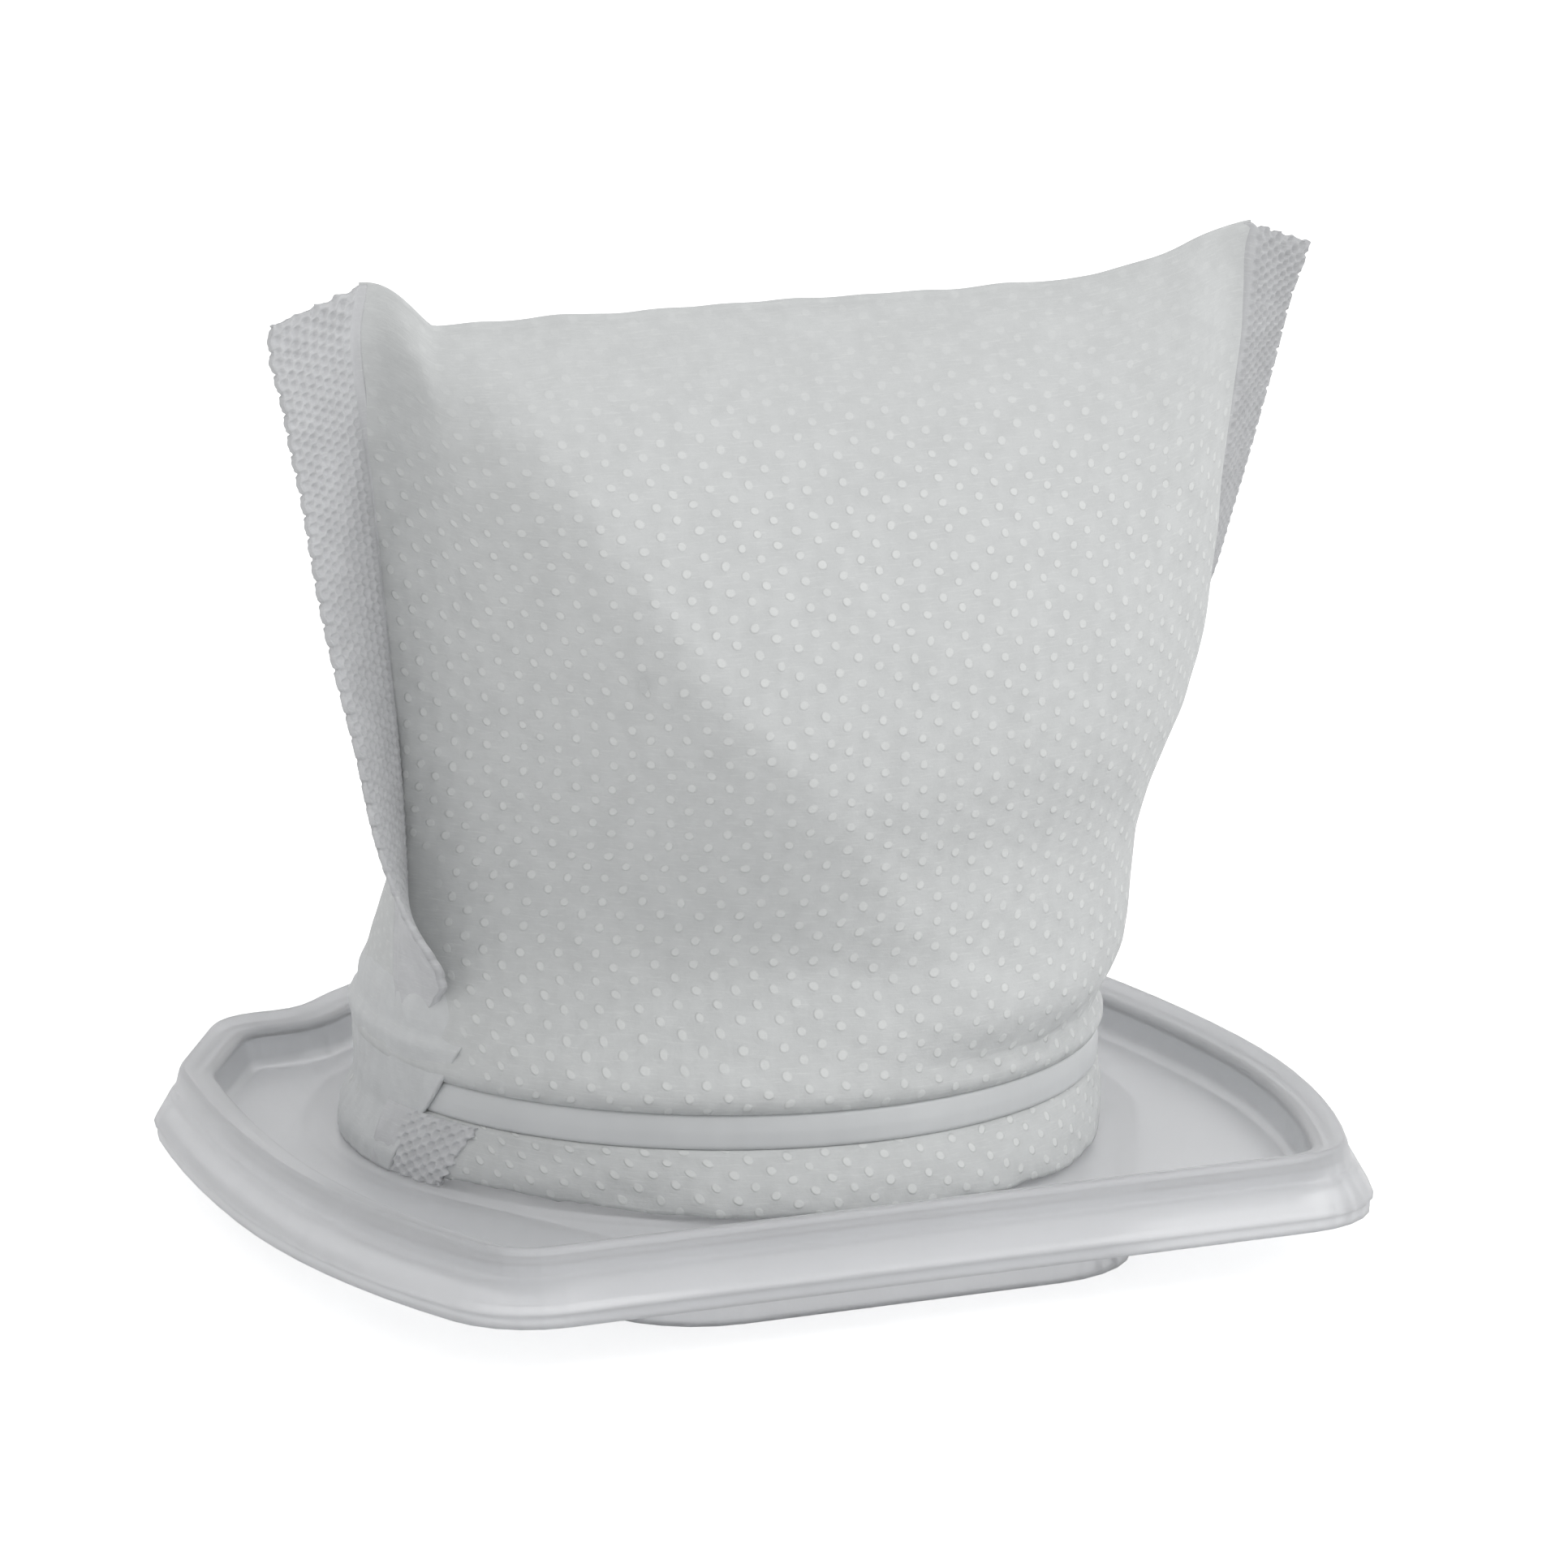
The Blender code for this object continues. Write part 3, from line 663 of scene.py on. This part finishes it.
def hem_row(share, side, inset=0.0):
    """A row below the band; share runs from 0 at the bottom edge to 1 at the band."""
    angle = math.pi * np.arange(PANEL_COLUMNS + 1) / PANEL_COLUMNS
    turn = np.degrees(angle)
    # The seams are on the NECK_TURN axis; the front panel runs from the left seam
    azimuth = NECK_TURN + 180 + turn if side > 0 else NECK_TURN + 180 - turn
    about = (azimuth - VIEW_LEFT_AZIMUTH) % 360
    places = []
    for a, t in zip(azimuth, about):
        radius, low = blend_rows(HEM_SHAPE, t)
        ring = Vector((*direction(a), 0.0))
        ragged = HEM_RAGGED * noise.noise(ring * HEM_RAGGED_RATE)
        low += HEM_WAVE * noise.noise(ring * HEM_WAVE_RATE) + ragged
        bulge = math.sin(math.pi * share) * HEM_BULGE
        out = radius + (HEM_TOP_RADIUS / MM - radius) * share ** HEM_SLOPE + bulge * (1 - share)
        billow = noise.noise(ring * HEM_BILLOW_RATE + Vector((0.0, 0.0, share * 2)))
        out += HEM_BILLOW * (1 - share) * billow
        height = low + ((BAND_LOW - HEM_BAND_GAP) / MM - low) * share
        spot = direction(a) * (out * MM - inset)
        places.append((spot[0], spot[1] + COLLAR_Y, height * MM))
    return np.array(places)


def neck_row(radius, height, side, inset=0.0):
    """A level row round the neck."""
    angle = np.degrees(math.pi * np.arange(PANEL_COLUMNS + 1) / PANEL_COLUMNS)
    azimuth = np.radians(NECK_TURN + 180 + angle if side > 0 else NECK_TURN + 180 - angle)
    reach = radius - inset
    return np.column_stack([
        np.cos(azimuth) * reach,
        np.sin(azimuth) * reach + COLLAR_Y,
        np.full(len(azimuth), height),
    ])


def panel_grid(side, inset=0.0, rows=BODY_ROWS, top_share=1.0, hem_rows=HEM_ROWS):
    """All rows of one panel, from the hem's bottom edge to the top fold."""
    grid = [hem_row(k / hem_rows, side, inset) for k in range(hem_rows)]
    neck = [
        (HEM_TOP_RADIUS, BAND_LOW - 1.6 * BAND_PLAY),
        (GROOVE_RADIUS, BAND_LOW - BAND_PLAY),
        (GROOVE_RADIUS, (BAND_LOW + BAND_HIGH) / 2),
        (GROOVE_RADIUS, BAND_HIGH + BAND_PLAY),
        (HEM_TOP_RADIUS, BAND_HIGH + 2.0 * BAND_PLAY),
        (SHOULDER_RADIUS, SHOULDER_LOW),
        (SHOULDER_RADIUS, SHOULDER_HIGH),
    ]
    for radius, height in neck:
        grid.append(neck_row(radius, height, side, inset))
    for k in range(rows + 1):
        grid.append(panel_row(top_share * k / rows, side, inset))
    if inset == 0.0:
        for k in range(1, FOLD_STEPS + 1):
            turn = math.pi / 2 * k / FOLD_STEPS
            row = panel_row(1.0, side, 0.0, math.cos(turn), FOLD_HALF_DEPTH * math.sin(turn))
            grid.append(row)
    else:
        grid.append(panel_row(top_share, side, inset, 0.0))
    # Both panels end on the same line at the fold
    last = grid[-1]
    left, right = last[0, :2], last[-1, :2]
    share = np.linalg.norm(last[:, :2] - left, axis=1) / np.linalg.norm(right - left)
    last[:, :2] = left + np.outer(share, right - left)
    return np.array(grid)


def grid_normals(grid, side):
    """Unit normals of a grid of points, outward."""
    along = np.gradient(grid, axis=1)
    up = np.gradient(grid, axis=0)
    normal = np.cross(along, up) * side
    length = np.linalg.norm(normal, axis=2, keepdims=True)
    return normal / np.maximum(length, 1e-12)


def cloth_map(grid, offset):
    """Distances in mm over the cloth: across from the panel's middle, and up from the hem."""
    step = np.linalg.norm(np.diff(grid, axis=1), axis=2)
    across = np.concatenate([np.zeros((len(grid), 1)), np.cumsum(step, axis=1)], axis=1)
    middle = grid.shape[1] // 2
    across = across - across[:, middle:middle + 1]
    climb = np.linalg.norm(np.diff(grid[:, middle], axis=0), axis=1)
    up = np.concatenate([[0.0], np.cumsum(climb)])
    up = np.repeat(up[:, None], grid.shape[1], axis=1)
    return np.stack([across / MM + offset, up / MM], axis=2)


def join_grids(name, grids, material):
    """One closed mesh from grids of points with their UVs; equal points are merged."""
    verts, faces, uvs = [], [], []
    start = 0
    for grid, uv, flip in grids:
        rows, columns = grid.shape[:2]
        verts.append(grid.reshape(-1, 3))
        index = np.arange(rows * columns).reshape(rows, columns) + start
        a, b = index[:-1, :-1].ravel(), index[:-1, 1:].ravel()
        c, d = index[1:, 1:].ravel(), index[1:, :-1].ravel()
        quads = np.column_stack([a, b, c, d] if not flip else [d, c, b, a])
        faces.append(quads)
        uvs.append(uv.reshape(-1, 2))
        start += rows * columns
    verts = np.concatenate(verts)
    faces = np.concatenate(faces)
    uvs = np.concatenate(uvs)
    mesh = bpy.data.meshes.new(name)
    mesh.from_pydata(verts.tolist(), [], faces.tolist())
    layer = mesh.uv_layers.new(name="cloth")
    loops = np.empty(len(mesh.loops), dtype=np.int32)
    mesh.loops.foreach_get("vertex_index", loops)
    layer.data.foreach_set("uv", uvs[loops].astype(np.float32).ravel())
    bm = bmesh.new()
    bm.from_mesh(mesh)
    bmesh.ops.remove_doubles(bm, verts=bm.verts, dist=MERGE_DISTANCE)
    bmesh.ops.dissolve_degenerate(bm, edges=bm.edges, dist=MERGE_DISTANCE / 10)
    bmesh.ops.recalc_face_normals(bm, faces=bm.faces)
    bm.to_mesh(mesh)
    bm.free()
    mesh.materials.append(material)
    mesh.shade_smooth()
    obj = bpy.data.objects.new(name, mesh)
    bpy.context.scene.collection.objects.link(obj)
    return obj


def neck_fold(grid):
    """Push in mm of the fold that hangs over the right side of the neck."""
    azimuth = np.degrees(np.arctan2(grid[:, :, 1] - COLLAR_Y, grid[:, :, 0]))
    around = smooth_step(azimuth, *NECK_FOLD_FRONT) * (1 - smooth_step(azimuth, *NECK_FOLD_REAR))
    height = grid[:, :, 2] / MM
    line = NECK_FOLD_HEIGHT + (azimuth - NECK_FOLD_AZIMUTH) * NECK_FOLD_SLOPE
    hang = smooth_step(height, line - NECK_FOLD_EDGE, line + NECK_FOLD_EDGE)
    hang = hang * (1 - smooth_step(height, line + NECK_FOLD_FADE[0], line + NECK_FOLD_FADE[1]))
    return NECK_FOLD_DEPTH * around * hang


def crumple(grid, normal, uv, side):
    """Pushes the cloth in and out along its normals: broad folds first, then soft dents."""
    rows, columns = grid.shape[:2]
    x = uv[:, :, 0]
    y = uv[:, :, 1]
    edge = np.linspace(0, 1, columns)[None, :]
    fade = smooth_step(np.minimum(edge, 1 - edge), 0.0, SEAM_CALM)
    height = grid[:, :, 2]
    low_left = smooth_step(edge, *LOW_LEFT_CALM)
    fade = fade * (low_left + (1 - low_left) * smooth_step(height, *LOW_LEFT_HEIGHT))
    fade = fade * smooth_step(height, BAND_HIGH + BAND_CALM[0], BAND_HIGH + BAND_CALM[1])
    below_fold = (rows - 1 - np.arange(rows))[:, None]
    top = smooth_step(below_fold, *FOLD_CALM_ROWS)
    push = np.zeros((rows, columns))
    for r in range(rows):
        for c in range(columns):
            spot = Vector((x[r, c] * CRUMPLE_RATE, y[r, c] * CRUMPLE_RATE, 5.0 * side))
            broad = noise.noise(spot)
            small = noise.noise(spot * CRUMPLE_FINER + Vector((3, 1, 2)))
            push[r, c] = CRUMPLE_BROAD * broad + CRUMPLE_SMALL * small
    push = push * fade * top
    if side > 0:
        push = push + neck_fold(grid) * smooth_step(1 - edge, 0.0, NECK_FOLD_SEAM)
        for dent_x, dent_y, wide, tall, depth in DENTS:
            push -= depth * np.exp(-((x - dent_x) / wide) ** 2 - ((y - dent_y) / tall) ** 2)
    return grid + normal * push[:, :, None] * MM


def build_pouch(material):
    """The front and the back panel with their lining, closed along the hem."""
    grids = []
    for side in (1, -1):
        offset = 0.0 if side > 0 else BACK_MAP_SHIFT
        grid = panel_grid(side)
        uv = cloth_map(grid, offset)
        grid = crumple(grid, grid_normals(grid, side), uv, side)
        grids.append((grid, uv, side < 0))
        lining = panel_grid(side, CLOTH, LINING_ROWS, LINING_TOP, LINING_HEM_ROWS)
        grids.append((lining, cloth_map(lining, offset + LINING_MAP_SHIFT), side > 0))
        rim = np.array([grid[0], lining[0]])
        grids.append((rim, cloth_map(rim, offset), side < 0))
    return join_grids("pouch_cloth", grids, material)


def honeycomb(across, up):
    """Depth share of the embossed cells: 1 on the floor of a cell, 0 on the walls."""
    step_across = CELL_PITCH * math.sqrt(3) / 2
    nearest = np.round(across / step_across)
    best = np.full(across.shape, 10.0)
    for step in (-1, 0, 1):
        cell = nearest + step
        shift = np.where(np.mod(cell, 2) == 0, 0.0, 0.5)
        row = np.round(up / CELL_PITCH - shift) + shift
        dx = np.abs(across - cell * step_across) / CELL_PITCH
        dy = np.abs(up - row * CELL_PITCH) / CELL_PITCH
        best = np.minimum(best, np.maximum(dy, dx * math.sqrt(3) / 2 + dy / 2))
    return 1 - smooth_step(best, CELL_FLOOR, CELL_WALL)


def body_radius(azimuth, height):
    """Radius of the pouch's skin about the collar at a height above the band."""
    share = max(0.0, (height - BODY_START) / (POUCH_TOP - BODY_START))
    rows = [panel_row(share, -1)[::-1], panel_row(share, 1)]
    around = np.concatenate([row[:, :2] for row in rows]) - np.array([0.0, COLLAR_Y])
    angles = np.degrees(np.arctan2(around[:, 1], around[:, 0])) % 360
    order = np.argsort(angles)
    radii = np.linalg.norm(around, axis=1)[order]
    section = np.interp(azimuth % 360, angles[order], radii, period=360)
    settled = float(smooth_step(share, 0.0, 0.02))
    return SHOULDER_RADIUS + (section - SHOULDER_RADIUS) * settled


def hug_pouch(plan, height, lift):
    """Moves points that lie under the pouch's skin out to just above it."""
    out = plan - np.array([0.0, COLLAR_Y])
    radius = np.linalg.norm(out, axis=1)
    azimuth = np.degrees(np.arctan2(out[:, 1], out[:, 0])) % 360
    wanted = np.maximum(radius, body_radius(azimuth, height) + lift)
    return out / radius[:, None] * wanted[:, None] + np.array([0.0, COLLAR_Y])


def close_sheet(name, near, far, uv, material):
    """A thin closed sheet from its two faces."""
    grids = [(near, uv, False), (far, uv, True)]
    rims = [
        (np.array([near[:, 0], far[:, 0]]), uv[:, :2].transpose(1, 0, 2)),
        (np.array([near[:, -1], far[:, -1]]), uv[:, -2:].transpose(1, 0, 2)),
        (np.array([near[0], far[0]]), uv[:2]),
        (np.array([near[-1], far[-1]]), uv[-2:]),
    ]
    for rim, rim_uv in rims:
        grids.append((rim, rim_uv, False))
    return join_grids(name, grids, material)


def build_fin(name, side, material):
    """A weld fin with honeycomb embossed on both faces and a scalloped free edge."""
    first = FIN_SHAPE[0][0]
    centre, offsets, across, up = [], [], [], []
    travelled = 0.0
    previous = None
    for k in range(FIN_ROWS + 1):
        share = first + (1 - first) * k / FIN_ROWS
        left, right, _, _, _ = pouch_section(share)
        seam = left if side < 0 else right
        left_turn, right_turn, width = blend_rows(FIN_SHAPE, share)
        angle = math.radians(left_turn if side < 0 else right_turn)
        out = np.array([side * math.cos(angle), math.copysign(math.sin(angle), side)])
        flat = np.array([-out[1], out[0]])
        high = body_height(share, np.array(float(side)))
        spot = np.array([seam[0], seam[1], high])
        if previous is not None:
            travelled += np.linalg.norm(spot - previous)
        previous = spot
        saw = (travelled / SCALLOP_PITCH) % 1.0
        scallop = SCALLOP_DEPTH * (1 - math.sin(math.pi * saw)) * min(1.0, width)
        reach = FIN_WIDTH * width - scallop
        w = np.linspace(-FIN_ROOT, reach, FIN_COLUMNS + 1)
        share_out = (w + FIN_ROOT) / (reach + FIN_ROOT)
        # Inside the seam the fin lies between the panels
        root = out if share < HUG_SHARE else (right - left) / np.linalg.norm(right - left) * side
        plan = seam + np.outer(np.maximum(w, 0), out) + np.outer(np.minimum(w, 0), root)
        if share < HUG_SHARE:
            # Low down the fin lies against the pouch, and its end sinks under the gusset
            emerge = float(smooth_step(share, first, first + HUG_EMERGE))
            plan = hug_pouch(plan, high, (HUG_LIFT * emerge - HUG_SINK) * MM)
        # The top edge starts level with the fold, and is scalloped like the free edge
        at_top = share ** FIN_TOP_POWER
        wave = FIN_TOP_WAVE * np.abs(np.sin(w / SCALLOP_PITCH * math.pi)) * at_top
        fall = FIN_TOP_FALL * share ** FIN_FALL_POWER * share_out + wave - FOLD_HALF_DEPTH * at_top
        centre.append(np.column_stack([plan, high - fall]))
        offsets.append(np.tile(np.array([flat[0], flat[1], 0.0]), (FIN_COLUMNS + 1, 1)))
        across.append(w)
        up.append(np.full(FIN_COLUMNS + 1, travelled))
    centre, offsets, across, up = (np.array(rows) for rows in (centre, offsets, across, up))
    # The cells start a little way out from the seam and up from the lower end
    started = smooth_step(across, *FIN_CELLS_ACROSS)
    depth = honeycomb(across, up) * started * smooth_step(up, *FIN_CELLS_UP)
    tip = 1 - smooth_step(across / FIN_WIDTH, *FIN_TIP) * FIN_TIP_THINNING
    half = (FIN_THICKNESS / 2 - CELL_DEPTH * depth + 0.5 * CELL_DEPTH) * tip
    half = np.maximum(half, FIN_THINNEST)
    # The left fin leaves the panels at a crease, and the right one in a soft bend
    if side < 0:
        thick = smooth_step(across, FIN_CREASE_START, FIN_CREASE)
        half = half * (CREASE_SHARE + (1 - CREASE_SHARE) * thick)
    else:
        thick = smooth_step(across, -FIN_ROOT, FIN_BEND)
        half = half * (BEND_SHARE + (1 - BEND_SHARE) * thick)
    near = centre - offsets * half[:, :, None]
    far = centre + offsets * half[:, :, None]
    uv = np.stack([across, up], axis=2) / MM
    return close_sheet(name, near, far, uv, material)


def build_gusset(material):
    """The seam allowance at the left, folded smooth over the band and the hem."""
    near = np.zeros((GUSSET_ROWS + 1, GUSSET_COLUMNS + 1, 3))
    outward = np.zeros_like(near)
    across = np.zeros(near.shape[:2])
    up = np.zeros(near.shape[:2])
    low, high = GUSSET_EDGE[0][0], GUSSET_EDGE[-1][0]
    for r in range(GUSSET_ROWS + 1):
        share = r / GUSSET_ROWS
        height = low + (high - low) * share
        ragged = noise.noise(Vector((height * GUSSET_EDGE_RATE, 3.0, 1.0)))
        edge = blend_rows(GUSSET_EDGE, height)[0] + GUSSET_EDGE_WAVE * ragged
        about = GUSSET_START + (edge - GUSSET_START) * np.linspace(0, 1, GUSSET_COLUMNS + 1)
        azimuth = about + VIEW_LEFT_AZIMUTH
        skin = body_radius(azimuth, height * MM) / MM
        hem = np.array([blend_rows(HEM_SHAPE, a % 360)[0] for a in about]) + GUSSET_HEM_LIFT
        # Out over the hem at the bottom, close over the band, back into the pouch at the top
        below = 1 - float(smooth_step(height, *GUSSET_OVER_HEM))
        over_band = 1 - float(smooth_step(height, *GUSSET_OVER_BAND))
        skin = skin * (1 - over_band) + BAND_COVER_RADIUS / MM * over_band
        radius = skin * (1 - below) + hem * below
        from_top = high - GUSSET_TOP_FADE[0], high - GUSSET_TOP_FADE[1]
        emerge = 1 - float(smooth_step(height, *from_top))
        back = smooth_step(about, GUSSET_START, GUSSET_START + GUSSET_BACK_FADE)
        # Above the band its front edge runs into the pouch; over the band it lies free
        sinking = smooth_step(about, edge - GUSSET_FRONT_FADE[0], edge - GUSSET_FRONT_FADE[1])
        front = over_band + (1 - over_band) * (1 - sinking)
        shown = emerge * back * front
        radius += (GUSSET_LIFT + GUSSET_SINK) * shown - GUSSET_SINK
        for c in range(GUSSET_COLUMNS + 1):
            spot = Vector((about[c] * WRINKLE_RATE[0], height * WRINKLE_RATE[1], 4.0))
            wrinkle = WRINKLE * noise.noise(spot)
            wrinkle += FINE_WRINKLE * noise.noise(spot * FINE_WRINKLE_RATE)
            # A pinched fold beside the end of the slit catches the light
            aside = (about[c] - PINCH_PLACE[0]) / PINCH_SPREAD[0]
            above = (height - PINCH_PLACE[1]) / PINCH_SPREAD[1]
            pinch = math.exp(-aside ** 2 - above ** 2)
            reach = radius[c] + wrinkle * shown[c] + PINCH_HEIGHT * pinch
            heading = direction(azimuth[c])
            near[r, c] = (heading[0] * reach * MM, heading[1] * reach * MM + COLLAR_Y, height * MM)
            outward[r, c] = (heading[0], heading[1], 0.0)
            across[r, c] = math.radians(about[c]) * reach
            up[r, c] = height
    far = near - outward * GUSSET_THICKNESS * MM
    uv = np.stack([across, up], axis=2)
    return close_sheet("seam_gusset", near, far, uv, material)


def build_hem_flap(material):
    """The left weld fin's lower end, folded flat to the front below the band."""
    near = np.zeros((FLAP_STEPS + 1, FLAP_STEPS + 1, 3))
    outward = np.zeros_like(near)
    across = np.zeros(near.shape[:2])
    up = np.zeros(near.shape[:2])
    top = (BAND_LOW - FLAP_BAND_GAP) / MM
    for r in range(FLAP_STEPS + 1):
        share = r / FLAP_STEPS
        ragged = FLAP_RAGGED * noise.noise(Vector((share * FLAP_RAGGED_RATE, 2.0, 5.0)))
        end = FLAP_END + ragged - FLAP_TAPER * (1 - share)
        for c in range(FLAP_STEPS + 1):
            t = c / FLAP_STEPS
            about = FLAP_START + (end - FLAP_START) * t
            wave = noise.noise(Vector((t * FLAP_BOTTOM_RATE, 7.0, 1.0)))
            low = FLAP_BOTTOM + FLAP_BOTTOM_WAVE * wave
            hem = blend_rows(HEM_SHAPE, about)[0]
            bulge = math.sin(math.pi / 2 * (1 - share))
            out = FLAP_TOP_RADIUS + (hem + FLAP_LIFT - FLAP_TOP_RADIUS) * bulge
            heading = direction(about + VIEW_LEFT_AZIMUTH)
            z = low + (top - low) * share
            near[r, c] = (heading[0] * out * MM, heading[1] * out * MM + COLLAR_Y, z * MM)
            outward[r, c] = (heading[0], heading[1], 0.0)
            across[r, c] = math.radians(about) * out * MM
            up[r, c] = z * MM
    fade = smooth_step(across, across.min() + FLAP_CELLS[0], across.min() + FLAP_CELLS[1])
    lift = FLAP_CELL_DEPTH * (0.5 - honeycomb(across, up) * fade)
    far = near - outward * FLAP_THICKNESS * MM
    near = near + outward * lift[:, :, None]
    uv = np.stack([across, up], axis=2) / MM
    return close_sheet("hem_flap", near, far, uv, material)


def camera_axes():
    """The camera's right, up and viewing directions."""
    azimuth, pitch = math.radians(CAMERA_AZIMUTH), math.radians(CAMERA_PITCH)
    level = math.cos(pitch)
    ahead = -Vector((math.sin(azimuth) * level, -math.cos(azimuth) * level, math.sin(pitch)))
    right = ahead.cross(Vector((0, 0, 1))).normalized()
    return right, right.cross(ahead), ahead


def build_camera():
    right, up, ahead = camera_axes()
    half = IMAGE_SIZE / 2
    aside = (CAMERA_AIM_PIXEL[0] - half) / CAMERA_FOCUS_PIXELS * CAMERA_DISTANCE
    below = (CAMERA_AIM_PIXEL[1] - half) / CAMERA_FOCUS_PIXELS * CAMERA_DISTANCE
    place = Vector(CAMERA_AIM) - ahead * CAMERA_DISTANCE - right * aside + up * below
    data = bpy.data.cameras.new("camera")
    data.sensor_width = SENSOR_WIDTH
    data.lens = CAMERA_FOCUS_PIXELS / IMAGE_SIZE * SENSOR_WIDTH
    data.clip_start = 0.01
    data.clip_end = 20.0
    camera = bpy.data.objects.new("camera", data)
    bpy.context.scene.collection.objects.link(camera)
    camera.matrix_world = Matrix.Translation(place) @ Matrix((
        (right.x, up.x, -ahead.x, 0),
        (right.y, up.y, -ahead.y, 0),
        (right.z, up.z, -ahead.z, 0),
        (0, 0, 0, 1),
    ))
    bpy.context.scene.camera = camera


def area_light(name, place, target, size, power):
    data = bpy.data.lights.new(name, "AREA")
    data.shape = "DISK"
    data.size = size
    data.energy = power
    lamp = bpy.data.objects.new(name, data)
    bpy.context.scene.collection.objects.link(lamp)
    lamp.location = place
    lamp.rotation_euler = (Vector(target) - Vector(place)).to_track_quat("-Z", "Y").to_euler()


def build_floor():
    mesh = bpy.data.meshes.new("floor")
    signs = ((-1, -1), (1, -1), (1, 1), (-1, 1))
    corners = [(x * FLOOR_SIZE, y * FLOOR_SIZE, FLOOR_DROP) for x, y in signs]
    mesh.from_pydata(corners, [], [(0, 1, 2, 3)])
    floor = bpy.data.objects.new("floor", mesh)
    bpy.context.scene.collection.objects.link(floor)
    n = Nodes("floor_white")
    tree = n.tree
    n.shader.inputs["Base Color"].default_value = (FLOOR_GREY, FLOOR_GREY, FLOOR_GREY, 1)
    n.shader.inputs["Roughness"].default_value = 0.9
    n.shader.inputs["Specular IOR Level"].default_value = 0.0
    path = n.add("ShaderNodeLightPath")
    glow = n.add("ShaderNodeEmission")
    n.put(n.math("MULTIPLY", path.outputs["Is Camera Ray"], FLOOR_GLOW), glow.inputs["Strength"])
    both = n.add("ShaderNodeAddShader")
    tree.links.new(n.shader.outputs[0], both.inputs[0])
    tree.links.new(glow.outputs[0], both.inputs[1])
    # Reflections and the frosted plastic show it as plain white
    white = n.add("ShaderNodeEmission")
    pick = n.add("ShaderNodeMixShader")
    aside = n.math("MAXIMUM", path.outputs["Is Glossy Ray"], path.outputs["Is Transmission Ray"])
    tree.links.new(aside, pick.inputs[0])
    tree.links.new(both.outputs[0], pick.inputs[1])
    tree.links.new(white.outputs[0], pick.inputs[2])
    tree.links.new(pick.outputs[0], n.output.inputs["Surface"])
    mesh.materials.append(n.material)


def build_world():
    world = bpy.data.worlds.new("studio")
    bpy.context.scene.world = world
    world.use_nodes = True
    tree = world.node_tree
    back = tree.nodes["Background"]
    path = tree.nodes.new("ShaderNodeLightPath")
    seen = tree.nodes.new("ShaderNodeMath")
    seen.operation = "MAXIMUM"
    tree.links.new(path.outputs["Is Camera Ray"], seen.inputs[0])
    tree.links.new(path.outputs["Is Glossy Ray"], seen.inputs[1])
    clear = tree.nodes.new("ShaderNodeMath")
    clear.operation = "MAXIMUM"
    tree.links.new(seen.outputs[0], clear.inputs[0])
    tree.links.new(path.outputs["Is Transmission Ray"], clear.inputs[1])
    level = tree.nodes.new("ShaderNodeMapRange")
    tree.links.new(clear.outputs[0], level.inputs["Value"])
    level.inputs["To Min"].default_value = WORLD_LEVEL
    level.inputs["To Max"].default_value = 1.0
    tree.links.new(level.outputs["Result"], back.inputs["Strength"])
    back.inputs["Color"].default_value = (1, 1, 1, 1)


def main():
    build_camera()
    build_world()
    build_floor()
    area_light("key", KEY_PLACE, KEY_AIM, KEY_SIZE, KEY_POWER)

    for name, look in PLASTIC_LOOKS.items():
        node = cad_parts[name]
        node.data.materials.clear()
        node.data.materials.append(plastic_material(*look))

    cloth = {name: cloth_material(name, *look) for name, look in CLOTH_LOOKS.items()}
    pouch = build_pouch(cloth["cloth_panels"])
    # Painted light on the left fin and the hem flap, painted shade on the right fin
    left = build_fin("weld_fin_left", -1, cloth["cloth_left_fin_painted_light"])
    right = build_fin("weld_fin_right", 1, cloth["cloth_right_fin_painted_shade"])
    gusset = build_gusset(cloth["cloth_gusset"])
    flap = build_hem_flap(cloth["cloth_left_fin_painted_light"])
    for piece in (pouch, left, right, gusset, flap):
        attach(piece, "root")
    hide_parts("filter_pouch")
    bpy.context.scene.view_settings.view_transform = "Standard"


main()
